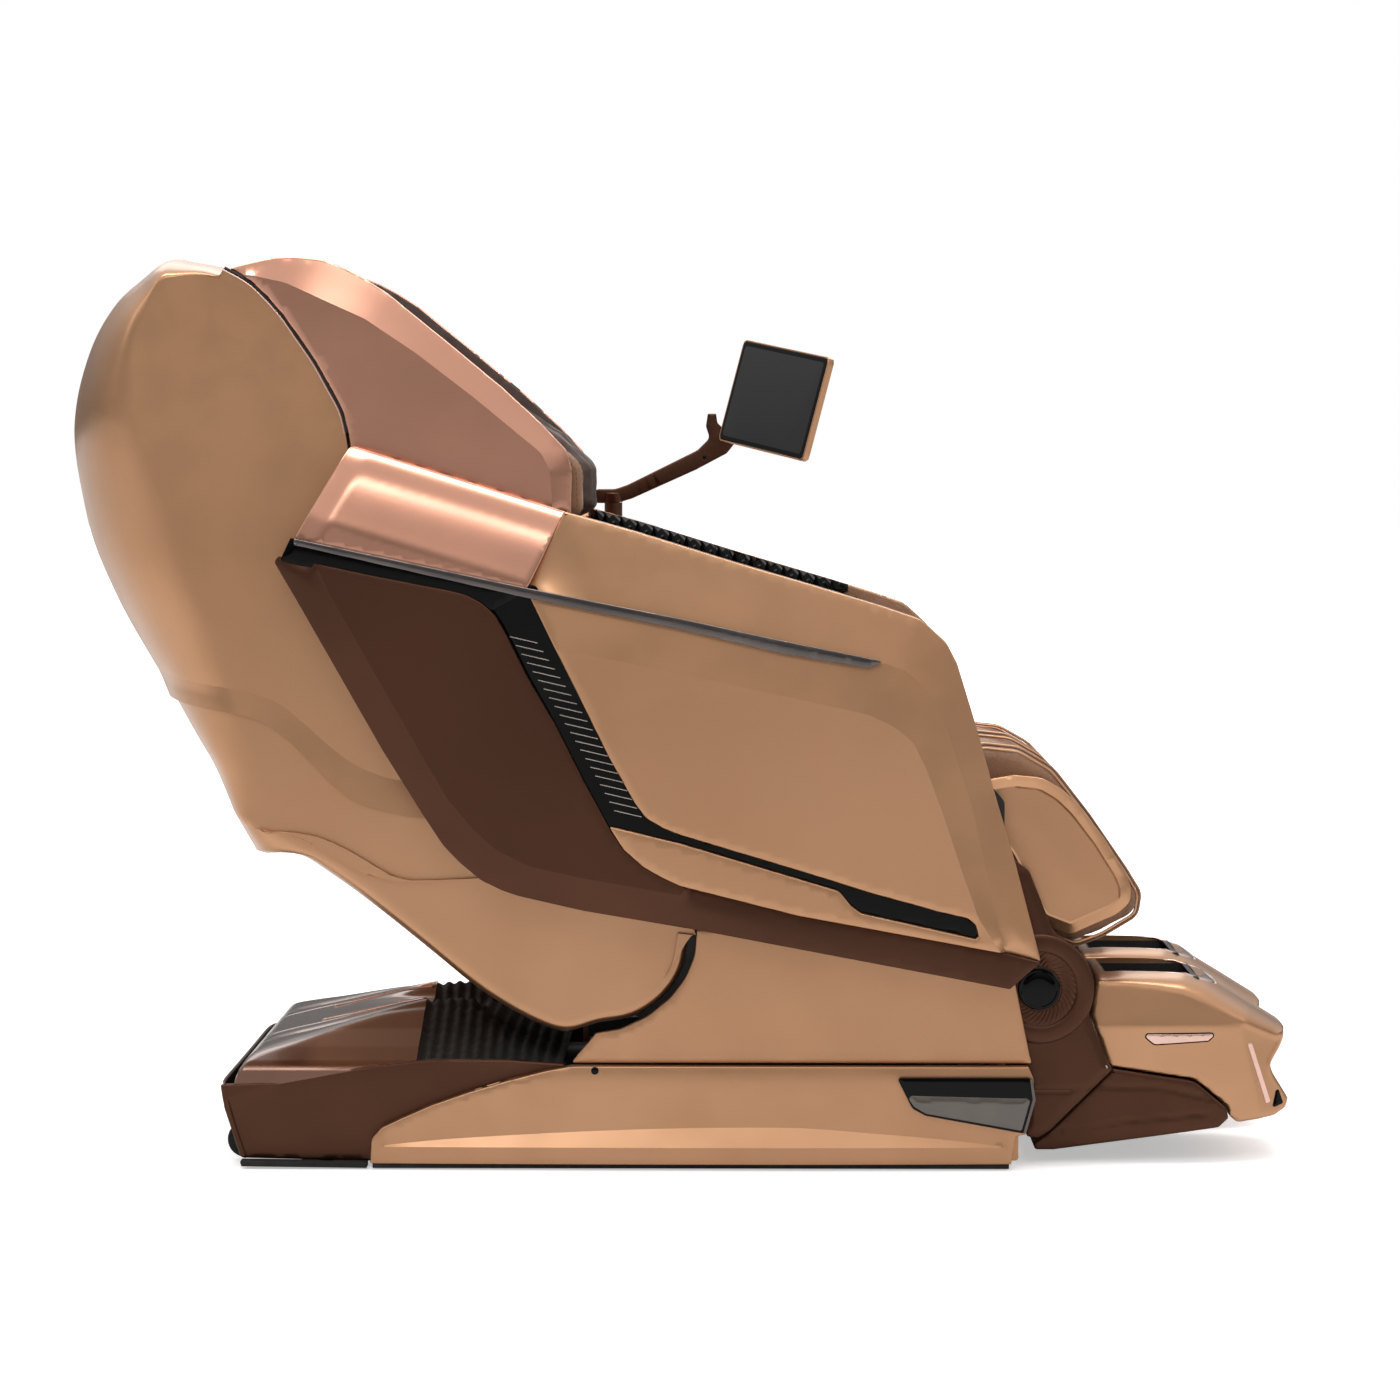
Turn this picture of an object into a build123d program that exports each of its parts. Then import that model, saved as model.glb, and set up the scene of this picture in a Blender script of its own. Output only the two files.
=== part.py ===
from build123d import *
import math
import os

os.makedirs("parts", exist_ok=True)

# Reclining massage chair, millimetres.  +X is forward, +Z is up, the right side of the chair is -Y.
# The frame sits at the middle of the footprint, on the floor.

# ---- driving dimensions -------------------------------------------------------------------------
ARM_OUTER = 430.0          # half of the overall width
ARM_INNER = 362.0          # inner plane of the side shells
SHELL_HALF = 345.0         # half width of the back shell
COVER_INNER = 350.0        # inner plane of the seat carriage covers
BASE_OUTER = 398.0         # half width of the base covers
SEAM_Z = 148.0             # sliding seam between the base and the carriage
WALL = 4.0                 # moulded plastic wall

BACK_PIVOT = (-105.0, 329.0)
BACK_RADIUS = 138.0        # round end of the back shell about its pivot
PIN_R = 12.0               # hinge pins
PIN_FIT = 0.05             # radial clearance of every pin in its bore

KNEE = (435.0, 510.0)      # leg hinge
ANKLE = (520.0, 253.0)     # foot hinge, under the round disc
LEG_IN = 10.0              # leg parts reach from here ...
LEG_OUT = 344.0            # ... to here
DISC_R = 78.0
CAP_R = 30.0

RAIL_Y = 270.0             # middle of the slide rails
RAIL_W = 16.0
RAIL_TOP = 86.0
TUBE = 40.0                # base tubes
TUBE_WALL = 3.0
WHEEL_R = 26.0
WHEEL_AT = (-612.0, 31.0)

# back rest direction: u runs up the back from the pivot, v points forward
BACK_UP = (-0.494, 0.8695)
BACK_FWD = (0.8695, 0.494)


# ---- helpers --------------------------------------------------------------------------------------
def outline(points, corner, depth):
    """Closed XZ outline with rounded corners, on the plane Y = -depth."""
    with BuildSketch(Plane.XZ.offset(depth), mode=Mode.PRIVATE) as flat:
        with BuildLine():
            FilletPolyline(*points, radius=corner, close=True)
        make_face()
    return flat.sketch


def inset_outline(points, corner, depth, wall):
    """The same outline moved inwards by the wall."""
    with BuildSketch(Plane.XZ.offset(depth), mode=Mode.PRIVATE) as flat:
        with BuildLine():
            FilletPolyline(*points, radius=corner, close=True)
        make_face()
        offset(amount=-wall, mode=Mode.REPLACE)
    return flat.sketch


def disc(center, radius, depth):
    """Circle on the plane Y = -depth, centred at an XZ point."""
    with BuildSketch(Plane.XZ.offset(depth), mode=Mode.PRIVATE) as flat:
        with Locations(center):
            Circle(radius)
    return flat.sketch


def on_back(u, v):
    """XZ point at u along the back rest and v in front of its pivot line."""
    x = BACK_PIVOT[0] + u * BACK_UP[0] + v * BACK_FWD[0]
    z = BACK_PIVOT[1] + u * BACK_UP[1] + v * BACK_FWD[1]
    return (x, z)


def back_quad(u0, u1, v0, v1):
    """Rectangle in back rest directions, as XZ points."""
    return [on_back(u0, v0), on_back(u1, v0), on_back(u1, v1), on_back(u0, v1)]


def hollow_panel(points, corner, inner, outer, wall, bevel):
    """Moulded panel of the right side: a tray that is open towards the middle."""
    with BuildPart() as tray:
        extrude(outline(points, corner, inner), amount=outer - inner)
        chamfer(tray.faces().sort_by(Axis.Y)[0].edges(), bevel)
        extrude(inset_outline(points, corner, inner, wall), amount=outer - inner - wall - bevel,
                mode=Mode.SUBTRACT)
    return tray.part


def save(shape, name):
    """Label one part and write its STEP file."""
    shape.label = name
    export_step(shape, "parts/" + name + ".step")


def save_pair(right_shape, name):
    """Write a right part and its mirror image on the left."""
    save(right_shape, name + "_right")
    save(mirror(right_shape, about=Plane.XZ), name + "_left")


def save_both(right_shape, name):
    """Write a right part and its mirror image as one node."""
    save(Compound(children=[right_shape, mirror(right_shape, about=Plane.XZ)]), name)


def box(x0, x1, y0, y1, z0, z1, mode=Mode.ADD):
    """Box between two corners."""
    with Locations(((x0 + x1) / 2, (y0 + y1) / 2, (z0 + z1) / 2)):
        Box(x1 - x0, y1 - y0, z1 - z0, mode=mode)


# ==== base ===========================================================================================
BASE_X = (-560.0, 470.0)
CROSS_X = (-560.0, -40.0, 430.0)

with BuildPart() as base_frame:
    for side in (-1, 1):
        middle = side * RAIL_Y
        box(BASE_X[0], BASE_X[1], middle - TUBE / 2, middle + TUBE / 2, 30, 30 + TUBE)
    for start in CROSS_X:
        box(start, start + TUBE, -RAIL_Y, RAIL_Y, 30, 30 + TUBE)
    for side in (-1, 1):
        middle = side * RAIL_Y
        half = TUBE / 2 - TUBE_WALL
        box(BASE_X[0] - 1, BASE_X[1] + 1, middle - half, middle + half,
            30 + TUBE_WALL, 30 + TUBE - TUBE_WALL, mode=Mode.SUBTRACT)
    for start in CROSS_X:
        box(start + TUBE_WALL, start + TUBE - TUBE_WALL, -RAIL_Y, RAIL_Y,
            30 + TUBE_WALL, 30 + TUBE - TUBE_WALL, mode=Mode.SUBTRACT)
    # slide rails
    for side in (-1, 1):
        box(-140, 460, side * RAIL_Y - RAIL_W / 2, side * RAIL_Y + RAIL_W / 2, 70, RAIL_TOP)
    # wheel forks and axles behind the rear tube
    for side in (-1, 1):
        for y in (276.0, 312.0):
            box(-624, -560, side * y - 4, side * y + 4, 22, 50)
        with BuildSketch(Plane.XZ.offset(-side * 294 - 22)):
            with Locations(WHEEL_AT):
                Circle(5)
        extrude(amount=44)

with BuildPart() as floor_feet:
    for x in (-520.0, 430.0):
        for y in (-RAIL_Y, RAIL_Y):
            with Locations((x, y, 15)):
                Cylinder(24, 30)
    chamfer(floor_feet.edges().filter_by(GeomType.CIRCLE).group_by(Axis.Z)[0], 3)

ACT_Z = 112.0
with BuildPart() as slide_actuator_body:
    box(-430, -340, -36, 36, 70, 140)
    with Locations(Location((-140, 0, ACT_Z), (0, 90, 0))):
        Cylinder(22, 400)
    box(-40, 0, -22, 22, 70, ACT_Z)
    with Locations(Location((-100, 0, ACT_Z), (0, 90, 0))):
        Cylinder(PIN_R + PIN_FIT, 400, mode=Mode.SUBTRACT)

with BuildPart() as control_box:
    box(-560, -440, 60, 230, 70, 132)
    fillet(control_box.edges().filter_by(Axis.Z), 6)

with BuildPart() as air_pump:
    box(-560, -450, -230, -60, 70, 96)
    for x in (-532, -478):
        with Locations(Location((x, -145, 112), (90, 0, 0))):
            Cylinder(22, 140)

BASE_SIDE = [(-143, 147), (-180, 140), (-234, 126), (-287, 110), (-341, 91), (-384, 72), (-414, 58),
             (-427, 36), (-427, 8), (479, 8), (486, 49), (499, 51), (511, 102), (510, 131), (503, 147)]
BASE_SIDE_R = [4, 90, 120, 120, 120, 60, 14, 14, 3, 3, 3, 6, 10, 14, 6]
base_cover = hollow_panel(BASE_SIDE, BASE_SIDE_R, 372, BASE_OUTER, WALL, 3)

REAR_SIDE = [(-642, 118), (-636, 84), (-613, 12), (-150, 12), (-150, 148), (-262, 150), (-342, 148),
             (-450, 140), (-558, 122)]
with BuildPart() as rear_cover:
    extrude(outline(REAR_SIDE, [4, 60, 8, 2, 2, 40, 60, 60, 60], -370), amount=740)
    extrude(inset_outline(REAR_SIDE, [4, 60, 8, 2, 2, 40, 60, 60, 60], -366, WALL), amount=732,
            mode=Mode.SUBTRACT)
    box(-610, -146, -366, 366, 0, 20, mode=Mode.SUBTRACT)
    box(-626, -146, -366, 366, 100, 200, mode=Mode.SUBTRACT)
    box(-160, -146, -366, 366, 0, 200, mode=Mode.SUBTRACT)
    for side in (-1, 1):
        box(-660, -580, side * 294 - 28, side * 294 + 28, 0, 62, mode=Mode.SUBTRACT)
    box(-660, -600, -230, -130, 44, 88, mode=Mode.SUBTRACT)

HOOD_SIDE = [(-622, 120), (-616, 146), (-586, 168), (-541, 180), (-443, 206), (-395, 212), (-345, 190),
             (-300, 158), (-280, 150), (-280, 100), (-622, 100)]
HOOD_CROSS = [(-366, 60), (-366, 146), (-300, 158), (-230, 176), (-112, 220), (-60, 196), (60, 196),
              (112, 220), (230, 176), (300, 158), (366, 146), (366, 60)]


def hood_solid(drop):
    """Solid under the rear hood, lowered by a distance."""
    with BuildPart() as block:
        extrude(outline(HOOD_SIDE, [6, 30, 40, 60, 60, 30, 60, 30, 2, 2, 2], -366), amount=732)
        with BuildSketch(Plane.YZ.offset(-700)):
            with BuildLine():
                FilletPolyline(*HOOD_CROSS, radius=6, close=True)
            make_face()
        extrude(amount=500, mode=Mode.INTERSECT)
    return Pos(0, 0, -drop) * block.part


with BuildPart() as rear_hood:
    add(hood_solid(0))
    add(hood_solid(WALL), mode=Mode.SUBTRACT)
    # side panels and the middle one are separate mouldings
    for side in (-1, 1):
        box(-680, -200, side * 112 - 0.3, side * 112 + 0.3, 60, 240, mode=Mode.SUBTRACT)
    # keep only what stands on the rear cover
    extrude(outline(REAR_SIDE, [4, 60, 8, 2, 2, 40, 60, 60, 60], -380), amount=760, mode=Mode.SUBTRACT)
    box(-680, -200, -400, 400, 0, 118, mode=Mode.SUBTRACT)

with BuildPart() as base_front_panel:
    box(478, 490, -371, 371, 12, 106)
    fillet(base_front_panel.edges().filter_by(Axis.Y).sort_by(Axis.X)[-2:], 5)
    box(470, 484, -364, 364, 0, 101, mode=Mode.SUBTRACT)

LAMP_SIDE = [(317, 133), (504, 133), (508, 103), (495, 54), (358, 79), (339, 89)]
with BuildPart() as base_lamp:
    extrude(outline(LAMP_SIDE, [3, 3, 6, 4, 10, 10], BASE_OUTER), amount=5)
    chamfer(base_lamp.faces().sort_by(Axis.Y)[0].edges(), 1.5)

with BuildPart() as power_inlet:
    box(-634, -604, -228, -132, 46, 86)
    box(-640, -616, -222, -188, 54, 78, mode=Mode.SUBTRACT)
    box(-640, -618, -172, -144, 56, 76, mode=Mode.SUBTRACT)
    for y in (-213, -205, -197):
        box(-628, -616, y - 1, y + 1, 62, 69)
    with Locations(Location((-626, -158, 66), (90, 0, 0))):
        Cylinder(1.5 + PIN_FIT, 34, mode=Mode.SUBTRACT)

with BuildPart() as power_switch:
    box(-632, -622, -171, -145, 58, 74)
    with Locations(Location((-626, -158, 66), (90, 0, 0))):
        Cylinder(1.5, 32)

with BuildPart() as wheel:
    with BuildSketch(Plane.XZ.offset(284)):
        with Locations(WHEEL_AT):
            Circle(WHEEL_R)
            Circle(5 + PIN_FIT, mode=Mode.SUBTRACT)
    extrude(amount=20)
    fillet(wheel.edges().filter_by(GeomType.CIRCLE).filter_by(lambda e: e.radius > 20), 4)

# ==== seat carriage ==================================================================================
with BuildPart() as seat_frame:
    # lower beams
    for side in (-1, 1):
        middle = side * RAIL_Y
        box(-140, 360, middle - 18, middle + 18, 112, 142)
    for side in (-1, 1):
        middle = side * RAIL_Y
        box(-141, 361, middle - 15, middle + 15, 115, 139, mode=Mode.SUBTRACT)
    # slide blocks saddle the rails
    for side in (-1, 1):
        middle = side * RAIL_Y
        for start in (-130.0, 90.0):
            box(start, start + 60, middle - 18, middle + 18, 73, 112)
            box(start - 1, start + 61, middle - RAIL_W / 2 - 0.4, middle + RAIL_W / 2 + 0.4,
                72, RAIL_TOP + 0.5, mode=Mode.SUBTRACT)
    # cross beams reach the side covers
    for start in (110.0, 300.0):
        box(start, start + 40, -COVER_INNER, COVER_INNER, 152, 192)
        box(start + 3, start + 37, -COVER_INNER, COVER_INNER, 155, 189, mode=Mode.SUBTRACT)
        for side in (-1, 1):
            box(start, start + 40, side * RAIL_Y - 18, side * RAIL_Y + 18, 142, 152)
    # hinge plates and seat pan
    for side in (-1, 1):
        plate = [(-150, 300), (-150, 352), (-130, 372), (-80, 372), (40, 332), (360, 332), (350, 150),
                 (100, 150), (-40, 200)]
        extrude(outline(plate, [10, 10, 10, 10, 30, 4, 4, 20, 30], side * 315 - 2), amount=4)
    box(0, 330, -317, 317, 326, 332)
    box(20, 310, -290, 290, 320, 329, mode=Mode.SUBTRACT)
    for side in (-1, 1):
        extrude(disc(BACK_PIVOT, PIN_R, 306 if side > 0 else -306 - 12), amount=12)
        extrude(disc(BACK_PIVOT, PIN_R, 290 if side > 0 else -306), amount=16)
    # knee plates carry the leg axle
    for side in (-1, 1):
        knee = [(300, 152), (340, 152), (396, 330), (470, 480), (470, 520), (446, 548), (412, 548),
                (398, 520), (350, 360), (300, 240)]
        extrude(outline(knee, [2, 20, 40, 14, 14, 14, 14, 20, 60, 20], side * 348 - 2), amount=4)
    middle_knee = [(305, 190), (340, 190), (400, 330), (462, 490), (462, 528), (440, 540), (414, 530),
                   (352, 400), (338, 326), (305, 326)]
    extrude(outline(middle_knee, [1, 10, 60, 14, 14, 10, 14, 30, 4, 1], -4), amount=8)
    extrude(disc(KNEE, PIN_R, -COVER_INNER), amount=2 * COVER_INNER)
    # actuator lug
    box(110, 150, -16, 16, ACT_Z - 14, 152)

with BuildPart() as slide_actuator_rod:
    with Locations(Location((-90, 0, ACT_Z), (0, 90, 0))):
        Cylinder(PIN_R, 400)

with BuildPart() as carriage_cover:
    with BuildSketch(Plane.XZ.offset(COVER_INNER)):
        with BuildLine():
            rear_foot = Polyline((60, 345), (420, 330), (478, 300), (487, 254), (505, 165), (509, 149),
                                 (-143, 149), (-105, 189))
            cradle = ThreePointArc(rear_foot @ 1, (-105 + 99, 329 - 99), (35, 329))
            Polyline(cradle @ 1, (35, 345), rear_foot @ 0)
        make_face()
    extrude(amount=ARM_INNER - COVER_INNER)
    outer_edges = carriage_cover.faces().sort_by(Axis.Y)[0].edges()
    chamfer(outer_edges, 3)

ARM_FRONT = [(-150, 930), (-57, 904), (86, 860), (228, 818), (300, 796), (350, 779), (385, 747),
             (400, 718), (430, 620), (454, 533), (483, 436), (519, 297), (468, 311), (179, 364),
             (12, 406), (12, 478), (-13, 488), (-36, 502), (-51, 522), (-89, 590), (-126, 665),
             (-163, 739), (-203, 820)]
ARM_FRONT_R = [2, 60, 60, 60, 60, 40, 30, 40, 80, 80, 80, 4, 20, 60, 4, 4, 10, 10, 20, 60, 60, 60, 2]
arm_front = hollow_panel(ARM_FRONT, ARM_FRONT_R, ARM_INNER, 426, WALL, 1.5)

ARM_UPPER = [(-452, 1023), (-150, 930), (-203, 820), (-529, 892)]
arm_upper = hollow_panel(ARM_UPPER, [8, 2, 2, 6], ARM_INNER, 424, WALL, 1.5)

ARM_LOWER = [(-557, 860), (-547, 869), (-426, 843), (-313, 821), (-288, 815), (-265, 803), (-246, 785),
             (-232, 760), (-201, 698), (-163, 633), (-127, 561), (-89, 490), (-67, 457), (-40, 433),
             (-14, 418), (12, 406), (179, 364), (468, 311), (519, 297), (475, 260), (179, 316),
             (-124, 370), (-216, 391), (-268, 413), (-299, 439), (-321, 462), (-350, 506), (-407, 598),
             (-464, 698), (-526, 807)]
ARM_LOWER_R = [5, 5, 60, 20, 10, 10, 20, 30, 60, 60, 60, 60, 30, 20,
               10, 10, 60, 20, 4, 20, 60,
               60, 60, 30, 30, 30, 60, 90,
               90, 60]
arm_lower = hollow_panel(ARM_LOWER, ARM_LOWER_R, ARM_INNER, 424, WALL, 1.5)

VENT = [(-265, 804), (-203, 820), (-163, 739), (-126, 665), (-89, 590), (-51, 522), (-36, 502),
        (-13, 488), (12, 478), (12, 406), (-14, 418), (-40, 433), (-67, 457), (-89, 490), (-127, 561),
        (-163, 633), (-201, 698), (-232, 760), (-246, 785)]
BAND = [(-547, 869), (-529, 892), (-203, 820), (-265, 804), (-288, 815), (-313, 821),
        (-426, 843)]
VENT_GAP = 0.4
with BuildPart() as vent_panel:
    extrude(inset_outline(VENT, 1.5, 396, VENT_GAP), amount=16)
    extrude(inset_outline(BAND, 1.5, 396, VENT_GAP), amount=24)

FIN_COUNT = 21
FIN_TOP = (-210.5, 752.0)
FIN_STEP = (8.1, -12.2)
with BuildPart() as vent_fins:
    for k in range(FIN_COUNT):
        at = (FIN_TOP[0] + k * FIN_STEP[0] * (1 - 0.005 * k), FIN_TOP[1] + k * FIN_STEP[1])
        for side in (-1, 1):
            with Locations(Location((at[0], side * 415, at[1]), (0, -13, 0))):
                Box(28, 6, 3)

STRIP = [(-528, 892), (-203, 824), (14, 781), (157, 750), (292, 723), (280, 713), (157, 733), (14, 767),
         (-203, 810), (-528, 884)]
with BuildPart() as arm_strip:
    extrude(outline(STRIP, [1, 60, 90, 90, 2, 2, 90, 90, 60, 1], 426), amount=4)

SEAT = [(-60, 336), (-62, 425), (-20, 452), (180, 462), (290, 480), (335, 450), (335, 332), (0, 332)]
with BuildPart() as seat_cushion:
    extrude(outline(SEAT, [10, 14, 40, 60, 40, 30, 4, 4], -236), amount=472)
    fillet(seat_cushion.edges().filter_by(lambda e: abs(abs(e.center().Y) - 236) < 1), 10)

ARM_PAD = [(44, 340), (335, 340), (340, 440), (330, 560), (300, 640), (180, 668), (20, 690), (-60, 640),
           (-30, 480)]
with BuildPart() as arm_pad:
    extrude(outline(ARM_PAD, [10, 10, 40, 60, 30, 60, 40, 30, 60], 242), amount=92)
    fillet(arm_pad.edges().filter_by(lambda e: abs(e.center().Y + 242) < 1), 14)

ARM_LINER = [(-128, 903), (-57, 884), (86, 842), (228, 800), (338, 764), (376, 700), (398, 600),
             (380, 420), (340, 345), (60, 345), (40, 500), (-60, 640), (-120, 790)]
with BuildPart() as arm_liner:
    extrude(outline(ARM_LINER, [6, 60, 60, 60, 40, 60, 60, 60, 20, 20, 60, 60, 60], COVER_INNER),
            amount=ARM_INNER - COVER_INNER)

# control console inside the right arm, its top sloping forward
CONSOLE_UP = (0.2815, 0.9596)
CONSOLE_TILT = math.degrees(math.asin(CONSOLE_UP[0]))


def on_console(along, lift):
    """Point over the console top: X distance from its rear end, height along its normal."""
    x = -80 + along + lift * CONSOLE_UP[0]
    z = 893 - along * CONSOLE_UP[0] / CONSOLE_UP[1] + lift * CONSOLE_UP[1]
    return Location((x, -326, z), (0, CONSOLE_TILT, 0))


CONSOLE = [(-80, 893), (70, 849), (66, 826), (-76, 868)]
with BuildPart() as control_console:
    extrude(outline(CONSOLE, 3, 302), amount=46)
    with Locations(on_console(50, -6)):
        Cylinder(3 + PIN_FIT, 13, mode=Mode.SUBTRACT)
    for along in (94, 118):
        with Locations(on_console(along, -3.5)):
            Cylinder(5.35, 7.1, mode=Mode.SUBTRACT)

with BuildPart() as jog_dial:
    with Locations(on_console(50, 8.5)):
        Cylinder(13, 16)
    fillet(jog_dial.edges().filter_by(GeomType.CIRCLE), 2)
    with Locations(on_console(50, -4)):
        Cylinder(3, 12)

with BuildPart() as power_button:
    with Locations(on_console(94, -1.2)):
        Cylinder(5, 7)
    chamfer(power_button.edges().filter_by(GeomType.CIRCLE), 0.6)

with BuildPart() as recline_button:
    with Locations(on_console(118, -1.2)):
        Cylinder(5, 7)
    chamfer(recline_button.edges().filter_by(GeomType.CIRCLE), 0.6)

# tablet on its swivel arm above the left arm rest
SWIVEL_AT = (-105.0, 404.0)
with BuildPart() as tablet_post:
    with Locations((SWIVEL_AT[0], SWIVEL_AT[1], 918)):
        Cylinder(14, 34)
    with Locations((SWIVEL_AT[0], SWIVEL_AT[1], 942)):
        Cylinder(6, 16)
    extrude(outline(ARM_FRONT, ARM_FRONT_R, -426), amount=64, mode=Mode.SUBTRACT)

TABLET_SIZE = (241.0, 163.0, 13.0)
TABLET_CENTER = Vector(144, 280, 1095)
TABLET_RIGHT = Vector(0.541, -0.832, -0.135)
TABLET_UP = Vector(0.258, 0, 0.966)
TABLET_BACK = TABLET_RIGHT.cross(TABLET_UP) * -1
TABLET_HINGE = TABLET_CENTER + TABLET_RIGHT * -85 + TABLET_UP * -20 + TABLET_BACK * 27
tablet_plane = Plane(origin=TABLET_CENTER, x_dir=TABLET_RIGHT, z_dir=TABLET_BACK * -1)
hinge_plane = Plane(origin=TABLET_HINGE, x_dir=TABLET_UP, z_dir=TABLET_RIGHT)

ARM_PATH = [(-105, 935.4), (-60, 936), (-22, 948), (38, 996), (56, 1028), (78, 1046), (128, 1052),
            (128, 1064), (72, 1058), (46, 1040), (32, 1006), (-30, 958), (-62, 946), (-105, 946)]
with BuildPart() as tablet_arm:
    extrude(outline(ARM_PATH, [2, 30, 60, 20, 20, 12, 2, 2, 14, 24, 24, 60, 30, 2], -412), amount=16)
    with Locations((SWIVEL_AT[0], SWIVEL_AT[1], 940.9)):
        Cylinder(15, 11)
    box(110, 130, 362, 412, 1052, 1066)
    box(112, 128, 362, 372, 1056, TABLET_HINGE.Z)
    with BuildSketch(hinge_plane.offset(-10)):
        Circle(9)
    extrude(amount=20)
    with BuildSketch(hinge_plane.offset(-20)):
        Circle(5 + PIN_FIT)
    extrude(amount=40, mode=Mode.SUBTRACT)
    with Locations((SWIVEL_AT[0], SWIVEL_AT[1], 940)):
        Cylinder(6 + PIN_FIT, 40, mode=Mode.SUBTRACT)

with BuildPart() as tablet_case:
    with BuildSketch(tablet_plane):
        RectangleRounded(TABLET_SIZE[0], TABLET_SIZE[1], 8)
    extrude(amount=-TABLET_SIZE[2])
    with BuildSketch(tablet_plane):
        RectangleRounded(TABLET_SIZE[0] - 5, TABLET_SIZE[1] - 5, 6)
    extrude(amount=-2, mode=Mode.SUBTRACT)
    for start in (-14.5, 10.5):
        with BuildSketch(hinge_plane.offset(start)):
            Circle(8)
            with Locations((0, 7)):
                Rectangle(16, 14.5)
        extrude(amount=4)
    with BuildSketch(hinge_plane.offset(-14.5)):
        Circle(5)
    extrude(amount=29)

with BuildPart() as tablet_screen:
    with BuildSketch(tablet_plane):
        RectangleRounded(TABLET_SIZE[0] - 5, TABLET_SIZE[1] - 5, 6)
    extrude(amount=-2)

# ==== back rest =======================================================================================
with BuildPart() as back_frame:
    for side in (-1, 1):
        start = 296 if side < 0 else -304
        extrude(outline(back_quad(-20, 830, -60, -10), 4, start), amount=8)
        extrude(disc(BACK_PIVOT, 34, start), amount=8)
    for u in (120, 460, 800):
        extrude(outline(back_quad(u, u + 26, -110, -84), 3, -304), amount=608)
        for side in (-1, 1):
            start = 296 if side < 0 else -304
            extrude(outline(back_quad(u - 6, u + 32, -110, -50), 4, start), amount=8)
    # tracks of the roller carriage
    for side in (-1, 1):
        start = 132 if side < 0 else -148
        extrude(outline(back_quad(110, 826, -84, -40), 2, start), amount=16)
    extrude(disc(BACK_PIVOT, PIN_R + PIN_FIT, -340), amount=680, mode=Mode.SUBTRACT)

SILHOUETTE = [(-733, 1298), (-812, 1238), (-862, 1155), (-883, 1040), (-858, 888), (-801, 762),
              (-706, 612), (-604, 424)]
LOWER_EDGE = [(-549, 436), (-456, 378), (-344, 291), (-236, 211), (-150, 178)]
SHELL_FRONT = [(-20, 470), (-150, 570), (-330, 800), (-462, 1035)]
SHELL_BROW = [(-507, 1137), (-560, 1220), (-636, 1272)]
INNER_REAR = [(-731, 1293), (-809, 1235), (-858, 1153), (-879, 1040), (-854, 889), (-797, 764),
              (-702, 614), (-602, 430)]
INNER_LOWER = [(-547, 441), (-453, 382), (-341, 295), (-234, 215), (-149, 183)]
INNER_FRONT = [(-100, 100), (200, 100), (200, 1200), (-560, 1262), (-631, 1266)]


def rear_rounded(block, half, edge):
    """Round the two long rear edges of a back shell block."""
    rear_edges = block.edges().filter_by(
        lambda e: abs(abs(e.center().Y) - half) < 1 and e.center().X < -740)
    fillet(rear_edges, edge)


with BuildPart() as shell_skin:
    with BuildSketch(Plane.XZ.offset(-SHELL_HALF)):
        with BuildLine():
            rear = Spline(*SILHOUETTE)
            lower = Spline(rear @ 1, *LOWER_EDGE)
            heel = Line(lower @ 1, (BACK_PIVOT[0], BACK_PIVOT[1] - BACK_RADIUS))
            diagonal = BACK_RADIUS * math.sqrt(0.5)
            end_arc = ThreePointArc(heel @ 1, (BACK_PIVOT[0] + diagonal, BACK_PIVOT[1] - diagonal),
                                    (BACK_PIVOT[0] + BACK_RADIUS, BACK_PIVOT[1]))
            front = Polyline(end_arc @ 1, *SHELL_FRONT)
            brow = Spline(front @ 1, *SHELL_BROW)
            Line(brow @ 1, rear @ 0)
        make_face()
    extrude(amount=2 * SHELL_HALF)
    rear_rounded(shell_skin, SHELL_HALF, 44)
shell_outer = shell_skin.part

with BuildPart() as shell_void:
    with BuildSketch(Plane.XZ.offset(-(SHELL_HALF - WALL))):
        with BuildLine():
            rear = Spline(*INNER_REAR)
            lower = Spline(rear @ 1, *INNER_LOWER)
            front = Polyline(lower @ 1, *INNER_FRONT)
            Line(front @ 1, rear @ 0)
        make_face()
    extrude(amount=2 * (SHELL_HALF - WALL))
    rear_rounded(shell_void, SHELL_HALF - WALL, 40)

UPPER_REGION = [(-1000, 1500), (-1000, 705), (-760, 700), (-696, 690), (-623, 678), (-582, 668),
                (-550, 652), (-521, 628), (-489, 599), (-456, 574), (-424, 559), (-384, 548), (0, 520),
                (0, 1500)]
LOWER_REGION = [(-1000, 698), (-760, 694), (-696, 684), (-623, 672), (-582, 662), (-550, 646),
                (-521, 622), (-489, 593), (-456, 568), (-424, 553), (-384, 542), (60, 510), (60, 100),
                (-1000, 100)]

with BuildPart() as back_shell_upper:
    add(shell_outer)
    add(shell_void.part, mode=Mode.SUBTRACT)
    extrude(outline(UPPER_REGION, 2, -400), amount=800, mode=Mode.INTERSECT)

with BuildPart() as back_shell_lower:
    add(shell_outer)
    add(shell_void.part, mode=Mode.SUBTRACT)
    extrude(outline(LOWER_REGION, 2, -400), amount=800, mode=Mode.INTERSECT)

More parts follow.
